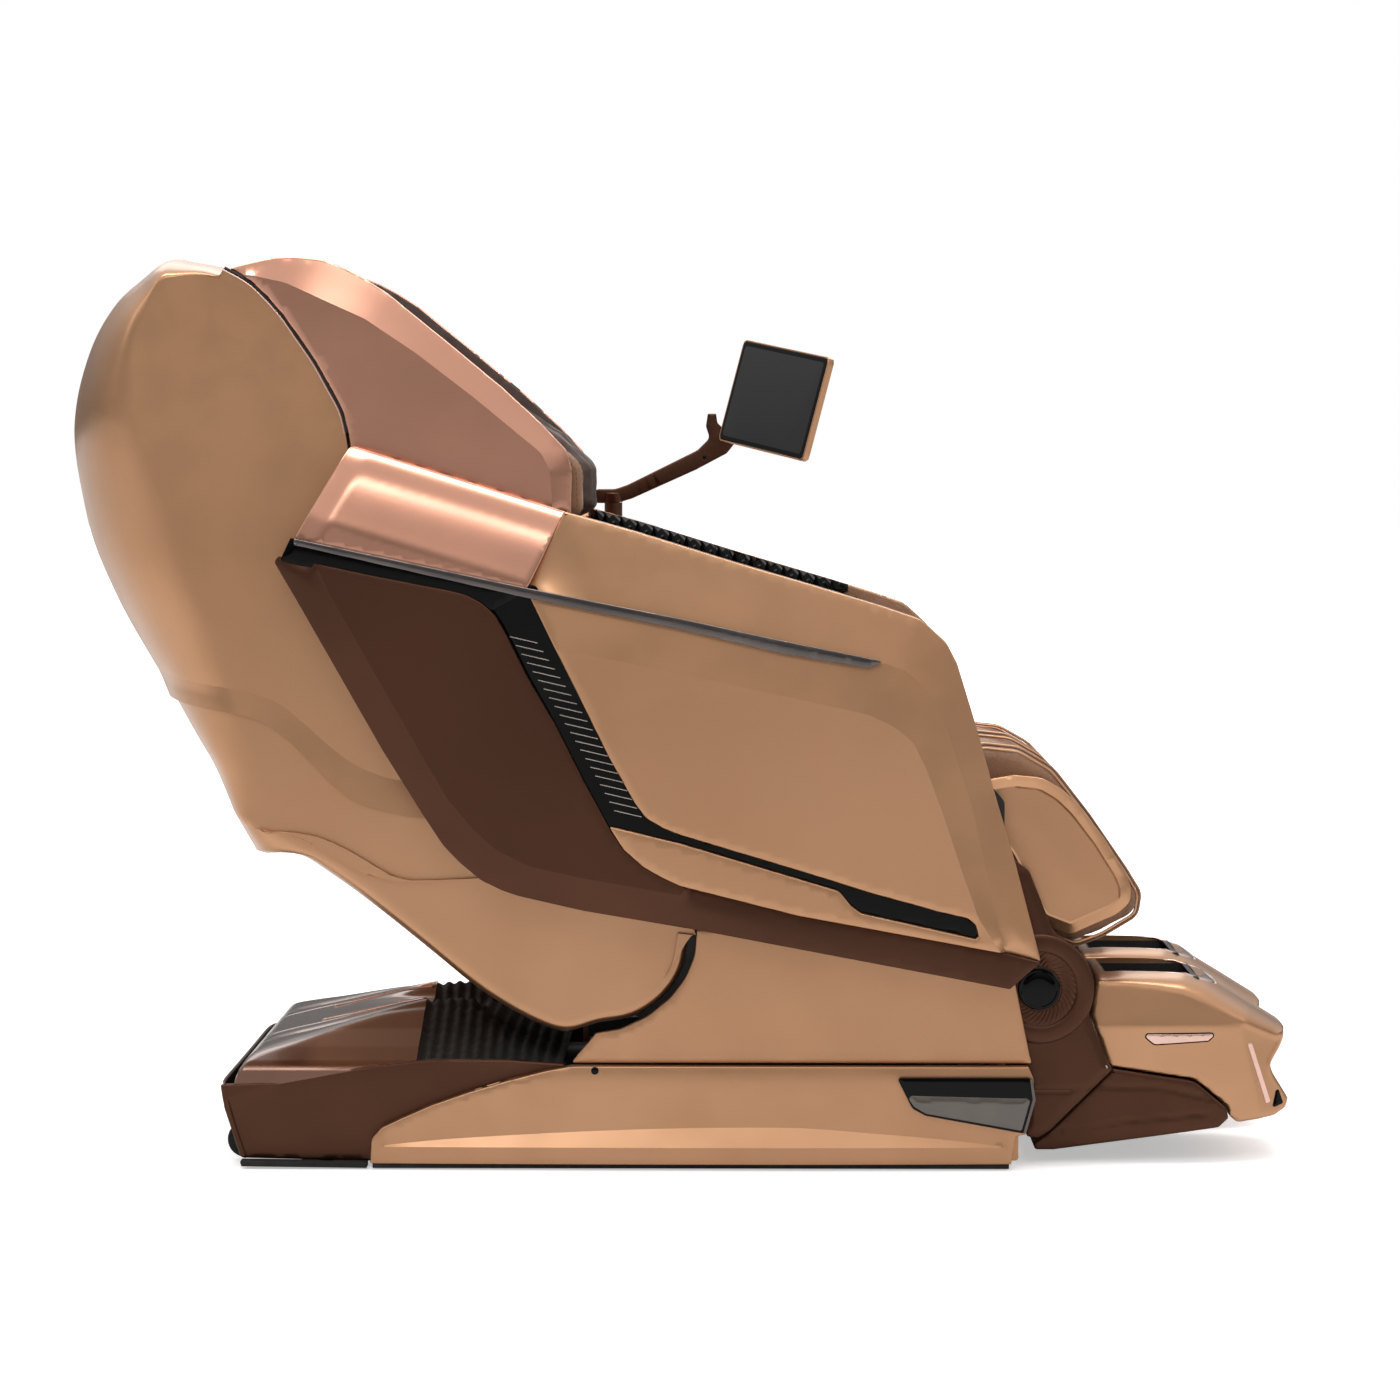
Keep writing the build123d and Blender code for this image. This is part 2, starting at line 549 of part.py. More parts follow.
SPINE_IN = [(-596, 440), (-697, 614), (-792, 763), (-849, 888), (-862, 945)]
SPINE_OUT = [(-874, 945), (-862, 888), (-804, 762), (-709, 612), (-607, 428)]
with BuildPart() as back_spine_cover:
    with BuildSketch(Plane.XZ.offset(-46)):
        with BuildLine():
            spine_in = Spline(*SPINE_IN)
            spine_out = Spline(*SPINE_OUT)
            Line(spine_in @ 1, spine_out @ 0)
            Line(spine_out @ 1, spine_in @ 0)
        make_face()
    extrude(amount=92)
    add(shell_outer, mode=Mode.SUBTRACT)

WING = [(-636, 1270), (-604, 1278), (-565, 1287), (-532, 1289), (-494, 1285), (-463, 1273),
        (-403, 1238), (-323, 1173), (-241, 1105), (-187, 1055), (-148, 1014), (-142, 990), (-146, 925),
        (-210, 905), (-400, 950), (-500, 985), (-560, 1100)]
WING_R = [4, 60, 60, 40, 40, 40, 90, 200, 200, 80, 20, 20, 20, 40, 60, 40, 60]
with BuildPart() as wing:
    extrude(outline(WING, WING_R, 322), amount=23)
    wing_rim = wing.faces().sort_by(Axis.Y)[0].edges()
    chamfer(wing_rim, 2)
    extrude(inset_outline(WING, WING_R, 322, WALL), amount=23 - WALL - 2, mode=Mode.SUBTRACT)
    add(shell_outer, mode=Mode.SUBTRACT)

WING_PAD = [(-560, 1130), (-500, 1230), (-463, 1255), (-403, 1222), (-323, 1157), (-241, 1089),
            (-175, 1048), (-130, 1004), (-122, 992), (-120, 925), (-200, 890), (-380, 930), (-470, 960)]
WING_PAD_R = [20, 40, 30, 90, 200, 200, 60, 16, 16, 20, 40, 60, 30]
with BuildPart() as wing_pad:
    extrude(outline(WING_PAD, WING_PAD_R, 262), amount=60)
    fillet(wing_pad.edges().filter_by(lambda e: abs(e.center().Y + 262) < 1), 12)

with BuildPart() as back_lining:
    extrude(outline(back_quad(70, 1010, -8, 2), 2, -260), amount=520)
    extrude(outline(back_quad(660, 1010, 2, 60), 10, 236), amount=24)
    extrude(outline(back_quad(660, 1010, 2, 60), 10, -260), amount=24)

BACK_PAD = [on_back(66, 4), on_back(66, 52), on_back(180, 68), on_back(330, 76), on_back(560, 62),
            on_back(790, 60), on_back(790, 4)]
with BuildPart() as back_cushion:
    extrude(outline(BACK_PAD, [6, 20, 90, 90, 90, 20, 6], -234), amount=468)
    fillet(back_cushion.edges().filter_by(lambda e: abs(abs(e.center().Y) - 234) < 1), 12)

PILLOW = [on_back(796, 4), on_back(796, 60), on_back(820, 92), on_back(880, 104), on_back(950, 96),
          on_back(1000, 60), on_back(1006, 4)]
with BuildPart() as head_pillow:
    extrude(outline(PILLOW, [6, 16, 30, 40, 40, 20, 6], -200), amount=400)
    fillet(head_pillow.edges().filter_by(lambda e: abs(abs(e.center().Y) - 200) < 1), 14)

ROLLER_U = (200.0, 270.0)
with BuildPart() as massage_carriage:
    extrude(outline(back_quad(180, 290, -78, -61), 4, -131), amount=262)
    for u in ROLLER_U:
        extrude(disc(on_back(u, -34), 6, -110), amount=220)
        for side in (-1, 1):
            for y in (36.0, 104.0):
                extrude(outline(back_quad(u - 9, u + 9, -62, -24), 4, side * y - 3), amount=6)

with BuildPart() as massage_rollers:
    for u in ROLLER_U:
        for y in (-70.0, 70.0):
            extrude(disc(on_back(u, -34), 25, y - 20), amount=40)
    fillet(massage_rollers.edges().filter_by(GeomType.CIRCLE), 10)
    for u in ROLLER_U:
        extrude(disc(on_back(u, -34), 6, -120), amount=240, mode=Mode.SUBTRACT)

# ==== legs, right side ===================================================================================
LEG_ARM = [(435, 556), (392, 530), (392, 490), (446, 400), (462, 330), (462, 200), (501, 120),
           (503, 42), (519, 40), (536, 50), (625, 138), (620, 146), (591, 216), (598, 260), (578, 306),
           (540, 335), (506, 420), (482, 500), (478, 530)]
LEG_ARM_R = [30, 30, 30, 60, 40, 20, 20, 4, 6, 6, 3, 3, 6, 20, 30, 20, 60, 40, 20]
with BuildPart() as leg_arm:
    extrude(outline(LEG_ARM, LEG_ARM_R, 324), amount=LEG_OUT - 324)
    extrude(disc(ANKLE, DISC_R, LEG_OUT), amount=3)
    extrude(disc(ANKLE, 54, LEG_OUT + 2), amount=2.4, mode=Mode.SUBTRACT)
    extrude(disc(ANKLE, CAP_R, LEG_OUT + 2), amount=2.4)
    extrude(disc(KNEE, 26, LEG_IN), amount=LEG_OUT - LEG_IN)
    extrude(disc(KNEE, PIN_R + PIN_FIT, 0), amount=400, mode=Mode.SUBTRACT)
    extrude(disc(ANKLE, 14, 300), amount=24)

CALF = [(444, 598), (493, 593), (542, 565), (594, 498), (647, 421), (669, 385), (664, 352),
        (614, 322), (574, 307), (510, 332), (436, 420), (384, 470), (352, 516), (364, 560), (400, 590)]
CALF_R = [30, 40, 60, 90, 90, 24, 24, 60, 20, 40, 60, 40, 30, 40, 30]
CALF_WELL = [(520, 640), (508, 560), (560, 470), (592, 400), (610, 300), (640, 200), (900, 300),
             (800, 640)]
with BuildPart() as calf_pad:
    extrude(outline(CALF, CALF_R, 22), amount=276)
    fillet(calf_pad.edges().filter_by(lambda e: abs(e.center().Y + 22) < 1), 10)
    extrude(outline(CALF_WELL, 20, 88), amount=146, mode=Mode.SUBTRACT)
    extrude(disc(KNEE, 26, 0), amount=400, mode=Mode.SUBTRACT)

CALF_RIM = [(455, 550), (486, 555), (526, 551), (555, 534), (579, 511), (614, 465), (644, 417),
            (652, 396), (651, 374), (634, 357), (566, 327), (520, 345), (470, 440), (420, 486),
            (420, 540)]
CALF_RIM_R = [20, 20, 30, 30, 60, 60, 30, 16, 14, 30, 14, 30, 40, 20, 20]
with BuildPart() as calf_shell:
    extrude(outline(CALF_RIM, CALF_RIM_R, 298), amount=24)
    chamfer(calf_shell.faces().sort_by(Axis.Y)[0].edges(), 3)
    extrude(outline(CALF_RIM, CALF_RIM_R, 12), amount=10)
    extrude(disc(KNEE, 26, 0), amount=400, mode=Mode.SUBTRACT)

FOOT_IN = 14.0
FOOT_OUT = 318.0
FOOT = [(604, 269), (640, 272), (734, 273), (766, 259), (800, 237), (883, 186), (880, 174), (856, 137),
        (861, 124), (885, 85), (881, 72), (862, 63), (807, 56), (795, 64), (792, 80), (744, 120),
        (626, 138), (620, 146), (591, 216)]
FOOT_R = [6, 40, 30, 40, 60, 3, 10, 10, 10, 4, 6, 10, 4, 4, 10, 40, 3, 3, 10]
FOOT_WELL = [(614, 300), (618, 168), (640, 146), (744, 130), (776, 118), (806, 146), (800, 210), (752, 262),
             (752, 300)]
FOOT_PLAN = [(570, -FOOT_IN), (570, -FOOT_OUT), (700, -FOOT_OUT), (820, -312), (885, -290), (885, -42),
             (820, -20), (700, -FOOT_IN)]
with BuildPart() as foot_shell:
    extrude(outline(FOOT, FOOT_R, FOOT_IN), amount=FOOT_OUT - FOOT_IN)
    with BuildSketch(Plane.XY):
        with BuildLine():
            FilletPolyline(*FOOT_PLAN, radius=[1, 1, 80, 60, 30, 30, 60, 80], close=True)
        make_face()
    extrude(amount=400, mode=Mode.INTERSECT)
    extrude(outline(FOOT_WELL, [4, 12, 20, 20, 14, 20, 30, 20, 4], 66), amount=200, mode=Mode.SUBTRACT)
    # ears around the ankle pin
    ear = [(560, 230), (600, 212), (612, 200), (612, 266), (560, 276)]
    extrude(outline(ear, 4, 302), amount=FOOT_OUT - 302)
    extrude(disc(ANKLE, 42, 302), amount=FOOT_OUT - 302)
    extrude(disc(ANKLE, 14 + PIN_FIT, 290), amount=40, mode=Mode.SUBTRACT)

FOOT_PAD_IN = [(622, 300), (626, 172), (644, 154), (746, 138), (774, 126), (798, 150), (792, 206), (744, 258),
               (744, 300)]
with BuildPart() as foot_liner:
    extrude(outline(FOOT_WELL, [4, 12, 20, 20, 14, 20, 30, 20, 4], 66), amount=200)
    extrude(outline(FOOT_PAD_IN, [4, 8, 16, 16, 10, 16, 26, 16, 4], 76), amount=180, mode=Mode.SUBTRACT)
    extrude(outline([(600, 268), (640, 270), (734, 271), (766, 257), (830, 215), (900, 300), (560, 320)],
                    1, 0), amount=400, mode=Mode.SUBTRACT)

FOOT_SOLE = [(626, 137), (744, 119), (791, 79), (794, 63), (779, 50), (543, 19), (516, 19), (514, 30),
             (538, 48)]
with BuildPart() as foot_sole:
    extrude(outline(FOOT_SOLE, [1, 40, 10, 4, 10, 30, 5, 5, 10], FOOT_IN), amount=FOOT_OUT - FOOT_IN)
    extrude(inset_outline(FOOT_SOLE, [1, 40, 10, 4, 10, 30, 5, 5, 10], FOOT_IN + WALL, WALL),
            amount=FOOT_OUT - FOOT_IN - 2 * WALL, mode=Mode.SUBTRACT)

# ==== write the parts ====================================================================================
save(base_frame.part, "base_frame")
save(floor_feet.part, "floor_feet")
save(slide_actuator_body.part, "slide_actuator_body")
save(control_box.part, "control_box")
save(air_pump.part, "air_pump")
save_both(base_cover, "base_covers")
save(rear_cover.part, "rear_cover")
save(rear_hood.part, "rear_hood")
save(base_front_panel.part, "base_front_panel")
save_both(base_lamp.part, "base_lamps")
save(power_inlet.part, "power_inlet")
save(power_switch.part, "power_switch")
save_pair(wheel.part, "transport_wheel")
save(seat_frame.part, "seat_frame")
save(slide_actuator_rod.part, "slide_actuator_rod")
save_both(carriage_cover.part, "carriage_covers")
save_pair(arm_front, "arm_front")
save_both(arm_upper, "arm_uppers")
save_pair(arm_lower, "arm_lower")
save_both(vent_panel.part, "vent_panels")
save(vent_fins.part, "vent_fins")
save_both(arm_strip.part, "arm_strips")
save(seat_cushion.part, "seat_cushion")
save_both(arm_pad.part, "arm_pads")
save_both(arm_liner.part, "arm_liners")
save(control_console.part, "control_console")
save(jog_dial.part, "jog_dial")
save(power_button.part, "power_button")
save(recline_button.part, "recline_button")
save(tablet_post.part, "tablet_post")
save(tablet_arm.part, "tablet_arm")
save(tablet_case.part, "tablet_case")
save(tablet_screen.part, "tablet_screen")
save(back_frame.part, "back_frame")
save(back_shell_upper.part, "back_shell_upper")
save(back_shell_lower.part, "back_shell_lower")
save(back_spine_cover.part, "back_spine_cover")
save_both(wing.part, "wings")
save_both(wing_pad.part, "wing_pads")
save(back_lining.part, "back_lining")
save(back_cushion.part, "back_cushion")
save(head_pillow.part, "head_pillow")
save(massage_carriage.part, "massage_carriage")
save(massage_rollers.part, "massage_rollers")
save_pair(leg_arm.part, "leg_arm")
save_pair(calf_pad.part, "calf_pad")
save_pair(calf_shell.part, "calf_shell")
save_pair(foot_shell.part, "foot_shell")
save_pair(foot_liner.part, "foot_liner")
save_pair(foot_sole.part, "foot_sole")
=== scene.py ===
import math

import bmesh
import bpy
import numpy as np
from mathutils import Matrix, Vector
from mathutils.bvhtree import BVHTree
from mathutils.geometry import delaunay_2d_cdt


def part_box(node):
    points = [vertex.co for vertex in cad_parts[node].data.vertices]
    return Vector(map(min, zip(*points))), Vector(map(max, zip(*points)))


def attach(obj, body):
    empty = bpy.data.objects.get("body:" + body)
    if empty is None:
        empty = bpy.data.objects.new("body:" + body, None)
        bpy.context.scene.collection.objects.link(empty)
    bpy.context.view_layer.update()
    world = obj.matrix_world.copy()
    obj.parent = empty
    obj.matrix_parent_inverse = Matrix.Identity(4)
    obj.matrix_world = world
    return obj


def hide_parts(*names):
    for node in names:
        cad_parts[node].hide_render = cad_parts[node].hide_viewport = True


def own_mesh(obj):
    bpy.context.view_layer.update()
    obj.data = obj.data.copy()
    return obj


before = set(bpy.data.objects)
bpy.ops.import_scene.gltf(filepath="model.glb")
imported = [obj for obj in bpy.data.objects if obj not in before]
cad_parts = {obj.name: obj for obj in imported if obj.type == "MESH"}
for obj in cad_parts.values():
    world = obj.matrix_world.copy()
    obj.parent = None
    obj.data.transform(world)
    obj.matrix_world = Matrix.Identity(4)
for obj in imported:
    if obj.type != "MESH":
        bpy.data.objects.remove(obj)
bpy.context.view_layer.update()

# Outlines are written in millimetres as (X, Z), depths as the distance |Y| from the middle plane.
MM = 0.001
RIGHT, LEFT = -1, 1
SIDES = ((RIGHT, "right"), (LEFT, "left"))


# ---- materials -------------------------------------------------------------------------------------
def linear(rgb):
    """sRGB 0-255 to the linear colour that a shader takes."""
    return tuple((c / 255 / 12.92) if c / 255 <= 0.04045 else ((c / 255 + 0.055) / 1.055) ** 2.4
                 for c in rgb) + (1.0,)


def finish(name, tones, rough, bump=(300.0, 0.02), cloud=5.0, fleck=(900.0, 0.06), pattern="noise",
           **sockets):
    """Procedural material: two tones clouded together, fine flecks, uneven gloss, fine relief."""
    mat = bpy.data.materials.new(name)
    mat.use_nodes = True
    nodes, links = mat.node_tree.nodes, mat.node_tree.links
    shader = nodes["Principled BSDF"]
    place = nodes.new("ShaderNodeTexCoord").outputs["Object"]

    def noise(scale, detail=3.0):
        node = nodes.new("ShaderNodeTexNoise")
        node.inputs["Scale"].default_value = scale
        node.inputs["Detail"].default_value = detail
        links.new(place, node.inputs["Vector"])
        return node.outputs["Fac"]

    def ranged(value, low, high, start=0.25, end=0.75):
        node = nodes.new("ShaderNodeMapRange")
        node.interpolation_type = "SMOOTHERSTEP"
        node.inputs["From Min"].default_value = start
        node.inputs["From Max"].default_value = end
        node.inputs["To Min"].default_value = low
        node.inputs["To Max"].default_value = high
        links.new(value, node.inputs["Value"])
        return node.outputs["Result"]

    def mixed(factor, first, second, blend="MIX"):
        node = nodes.new("ShaderNodeMix")
        node.data_type, node.blend_type = "RGBA", blend
        for socket, value in ((node.inputs[0], factor), (node.inputs[6], first), (node.inputs[7], second)):
            if isinstance(value, bpy.types.NodeSocket):
                links.new(value, socket)
            else:
                socket.default_value = value
        return node.outputs[2]

    cloudy = mixed(ranged(noise(cloud), 0.0, 1.0), linear(tones[0]), linear(tones[1]))
    grey = ranged(noise(fleck[0], 1.0), 1.0 - fleck[1], 1.0 + fleck[1], 0.2, 0.8)
    links.new(mixed(1.0, cloudy, grey, "MULTIPLY"), shader.inputs["Base Color"])
    links.new(ranged(noise(cloud * 4), rough[0], rough[1]), shader.inputs["Roughness"])
    if pattern == "leather":
        cells = nodes.new("ShaderNodeTexVoronoi")
        cells.feature = "DISTANCE_TO_EDGE"
        cells.inputs["Scale"].default_value = bump[0]
        links.new(place, cells.inputs["Vector"])
        relief_value = ranged(cells.outputs["Distance"], 0.0, 1.0, 0.0, 0.16)
    elif pattern == "brushed":
        wave = nodes.new("ShaderNodeTexWave")
        wave.bands_direction = "Z"
        wave.inputs["Scale"].default_value = bump[0]
        wave.inputs["Distortion"].default_value = 6.0
        links.new(place, wave.inputs["Vector"])
        relief_value = wave.outputs["Fac"]
    else:
        relief_value = noise(bump[0], 2.0)
    relief_node = nodes.new("ShaderNodeBump")
    relief_node.inputs["Strength"].default_value = bump[1]
    relief_node.inputs["Distance"].default_value = 0.0006
    links.new(relief_value, relief_node.inputs["Height"])
    links.new(relief_node.outputs["Normal"], shader.inputs["Normal"])
    for socket, value in sockets.items():
        shader.inputs[socket.replace("_", " ")].default_value = value
    return mat


GOLD = finish("champagne_satin", ((190, 144, 108), (182, 136, 100)), (0.30, 0.36), (700, 0.04), 3.0,
              (2500, 0.05), Metallic=0.82, Coat_Weight=0.3, Coat_Roughness=0.2)
COPPER = finish("copper_gloss", ((206, 152, 128), (198, 144, 120)), (0.22, 0.26), (700, 0.01), 2.0,
                (2500, 0.03), Metallic=0.9, Coat_Weight=0.4, Coat_Roughness=0.12)
BROWN = finish("dark_brown_satin", ((82, 51, 36), (74, 46, 32)), (0.34, 0.40), (700, 0.04), 3.0,
               (2500, 0.07), Metallic=0.85, Coat_Weight=0.05, Coat_Roughness=0.25)
COPPER_DARK = finish("dark_copper_gloss", ((108, 74, 58), (98, 66, 51)), (0.2, 0.26), (700, 0.03), 3.0,
                     (2500, 0.06), Metallic=0.8, Coat_Weight=0.5, Coat_Roughness=0.1)
BLACK = finish("piano_black_gloss", ((3, 3, 3), (5, 4, 4)), (0.06, 0.1), (500, 0.01), 6.0, (900, 0.2),
               Specular_IOR_Level=0.12, Coat_Weight=0.04, Coat_Roughness=0.03)
CHROME = finish("strip_dark_chrome", ((104, 98, 96), (90, 85, 84)), (0.16, 0.22), (60, 0.02), 8.0,
                (900, 0.04), pattern="brushed", Metallic=0.9)
PINK = finish("toe_trim_metal", ((226, 190, 176), (214, 176, 162)), (0.14, 0.2), (600, 0.02), 8.0,
              (900, 0.04), Metallic=0.85, Coat_Weight=0.4, Coat_Roughness=0.08)
SMOKE = finish("lamp_smoke_glass", ((92, 84, 77), (80, 73, 67)), (0.08, 0.14), (300, 0.01), 9.0,
               (900, 0.03), Coat_Weight=0.5, Coat_Roughness=0.03)
SCREEN = finish("screen_black_glass", ((14, 14, 16), (19, 18, 21)), (0.16, 0.2), (300, 0.005), 4.0,
                (900, 0.1), Specular_IOR_Level=0.35, Coat_Weight=0.2, Coat_Roughness=0.08)
LEATHER = finish("leather_tan", ((150, 108, 78), (131, 93, 66)), (0.42, 0.56), (620, 0.5), 9.0,
                 (500, 0.14), pattern="leather", Sheen_Weight=0.1)
# dark leather for the inner faces of the wings and the far wing pad: painted shade
LEATHER_SHADED = finish("leather_painted_shade", ((66, 43, 32), (54, 35, 26)), (0.42, 0.56), (620, 0.5), 9.0,
                      (500, 0.16), pattern="leather", Sheen_Weight=0.08)
LINING = finish("lining_dark_cloth", ((44, 30, 24), (34, 23, 18)), (0.7, 0.85), (1400, 0.5), 12.0,
                (1600, 0.25), Sheen_Weight=0.3)
WELL = finish("foot_well_leather", ((18, 13, 11), (12, 9, 8)), (0.42, 0.55), (620, 0.5), 9.0,
              (500, 0.2), pattern="leather")
PLASTIC = finish("black_moulded_plastic", ((20, 19, 19), (27, 26, 25)), (0.42, 0.55), (1500, 0.25), 9.0,
                 (900, 0.2))
RUBBER = finish("black_rubber", ((17, 17, 17), (26, 25, 24)), (0.7, 0.85), (1000, 0.4), 14.0, (700, 0.3))
STEEL = finish("frame_steel_paint", ((34, 34, 35), (42, 41, 41)), (0.38, 0.5), (900, 0.2), 9.0, (700, 0.12),
               Metallic=0.3)
BRIGHT = finish("bright_turned_steel", ((196, 196, 200), (178, 178, 182)), (0.14, 0.24), (240, 0.08), 9.0,
                (700, 0.05), pattern="brushed", Metallic=1.0)
FIN = finish("vent_fin_metal", ((206, 196, 188), (188, 178, 170)), (0.2, 0.3), (500, 0.05), 12.0, (700, 0.05),
             Metallic=0.85)
CRYSTAL = finish("dial_cut_black", ((30, 25, 23), (90, 74, 62)), (0.05, 0.12), (300, 0.02), 160.0, (900, 0.3),
                 Coat_Weight=0.5, Coat_Roughness=0.03)
THREAD = finish("stitch_thread", ((92, 62, 44), (78, 52, 37)), (0.6, 0.7), (2500, 0.4), 20.0, (2000, 0.2))


# ---- outlines --------------------------------------------------------------------------------------
def spaced(points, step, closed=True):
    """The same polyline with points added so that none are further apart than a step."""
    points = [np.asarray(p, float) for p in points]
    out = []
    count = len(points) if closed else len(points) - 1
    for i in range(count):
        a, b = points[i], points[(i + 1) % len(points)]
        parts = max(1, int(math.ceil(np.linalg.norm(b - a) / step)))
        out += [a + (b - a) * k / parts for k in range(parts)]
    if not closed:
        out.append(points[-1])
    return np.array(out)


def rounded(points, radius, step=7.0, closed=True):
    """Polyline with rounded corners, as points about a step apart."""
    points = [np.asarray(p, float) for p in points]
    total = len(points)
    radii = list(radius) if hasattr(radius, "__len__") else [radius] * total
    out = []
    for i, corner in enumerate(points):
        if not closed and i in (0, total - 1):
            out.append(corner)
            continue
        to_last, to_next = points[i - 1] - corner, points[(i + 1) % total] - corner
        lengths = np.linalg.norm(to_last), np.linalg.norm(to_next)
        u, v = to_last / lengths[0], to_next / lengths[1]
        half = math.acos(max(-1.0, min(1.0, float(u @ v)))) / 2
        reach = min(radii[i] / max(math.tan(half), 1e-6), 0.48 * min(lengths))
        turn = math.pi - 2 * half
        if reach < 0.05 or turn < 0.01:
            out.append(corner)
            continue
        bend = reach * math.tan(half)
        middle = corner + (u + v) / np.linalg.norm(u + v) * math.hypot(reach, bend)
        start, end = corner + u * reach - middle, corner + v * reach - middle
        parts = max(2, int(bend * turn / step), int(turn / 0.16))
        for k in range(parts + 1):
            f = k / parts
            out.append(middle + (math.sin((1 - f) * turn) * start
                                 + math.sin(f * turn) * end) / math.sin(turn))
    return spaced(out, step, closed)


def smooth_line(points, count):
    """Catmull-Rom curve through the points, evenly spaced."""
    p = np.asarray(points, float)
    ends = np.vstack([2 * p[0] - p[1], p, 2 * p[-1] - p[-2]])
    dense = []
    for i in range(1, len(ends) - 2):
        a, b, c, d = ends[i - 1:i + 3]
        for t in np.linspace(0, 1, 24, endpoint=False):
            dense.append(0.5 * (2 * b + (c - a) * t + (2 * a - 5 * b + 4 * c - d) * t * t
                                + (3 * b - a - 3 * c + d) * t ** 3))
    dense.append(p[-1])
    return evenly(np.array(dense), count)


def evenly(line, count):
    """An open polyline resampled to a number of evenly spaced points."""
    run = np.concatenate([[0], np.cumsum(np.linalg.norm(np.diff(line, axis=0), axis=1))])
    at = np.linspace(0, run[-1], count)
    return np.stack([np.interp(at, run, line[:, k]) for k in range(line.shape[1])], axis=1)


def inside(p, loop):
    """Which points lie inside a closed loop."""
    x, z = p[:, 0][:, None], p[:, 1][:, None]
    a, b = loop, np.roll(loop, -1, axis=0)
    crosses = (a[:, 1] > z) != (b[:, 1] > z)
    height = np.where(b[:, 1] == a[:, 1], 1e-9, b[:, 1] - a[:, 1])
    left = x < (b[:, 0] - a[:, 0]) * (z - a[:, 1]) / height + a[:, 0]
    return (np.sum(crosses & left, axis=1) % 2) == 1


def distance(p, line, closed=True):
    """Distance from each point to a polyline."""
    a = line if closed else line[:-1]
    b = np.roll(line, -1, axis=0) if closed else line[1:]
    best = np.full(len(p), 1e9)
    for start in range(0, len(a), 64):
        s, e = a[start:start + 64], b[start:start + 64]
        d = e - s
        size = np.maximum((d ** 2).sum(1), 1e-12)
        t = np.clip(((p[:, None] - s) * d).sum(2) / size, 0, 1)
        gap = np.linalg.norm(p[:, None] - (s + t[..., None] * d), axis=2).min(1)
        best = np.minimum(best, gap)
    return best


def outward(loop):
    """Unit normals of a closed loop, away from its inside, lengthened at corners."""
    back, ahead = loop - np.roll(loop, 1, axis=0), np.roll(loop, -1, axis=0) - loop
    back /= np.maximum(np.linalg.norm(back, axis=1, keepdims=True), 1e-9)
    ahead /= np.maximum(np.linalg.norm(ahead, axis=1, keepdims=True), 1e-9)
    mean = back + ahead
    mean /= np.maximum(np.linalg.norm(mean, axis=1, keepdims=True), 1e-9)
    area = np.sum(loop[:, 0] * np.roll(loop[:, 1], -1) - np.roll(loop[:, 0], -1) * loop[:, 1])
    normal = np.stack([mean[:, 1], -mean[:, 0]], axis=1) * (1 if area > 0 else -1)
    stretch = np.clip(np.abs((mean * back).sum(1)), 0.6, 1)
    return normal / stretch[:, None]


def grown(loop, amount):
    """Closed loop moved outwards by an amount, or inwards if it is negative."""
    return loop + outward(loop) * amount


# ---- meshes ----------------------------------------------------------------------------------------
def make(name, vertices, faces, mat, body, sharp=(), angle=30.0):
    """Piece from vertices in metres, shaded smooth except along sharp edges."""
    mesh = bpy.data.meshes.new(name)
    mesh.from_pydata([tuple(v) for v in vertices], [], [tuple(f) for f in faces])
    mesh.validate()
    mesh.update()
    piece = bpy.data.objects.new(name, mesh)
    bpy.context.scene.collection.objects.link(piece)
    mesh.materials.append(mat)
    shade(mesh, sharp, angle)
    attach(piece, body)
    return piece


def shade(mesh, sharp=(), angle=30.0):
    """Smooth shading with sharp edges where faces meet steeply or where they are listed."""
    mesh.polygons.foreach_set("use_smooth", [True] * len(mesh.polygons))
    normals = {}
    for polygon in mesh.polygons:
        for key in polygon.edge_keys:
            normals.setdefault(key, []).append(polygon.normal)
    listed = {tuple(sorted(pair)) for pair in sharp}
    limit = math.cos(math.radians(angle))
    flags = []
    for edge in mesh.edges:
        key = tuple(sorted(edge.vertices))
        near = normals.get(key, [])
        flags.append(key in listed or (len(near) == 2 and near[0].dot(near[1]) < limit))
    attribute = mesh.attributes.get("sharp_edge") or mesh.attributes.new("sharp_edge", "BOOLEAN", "EDGE")
    attribute.data.foreach_set("value", flags)


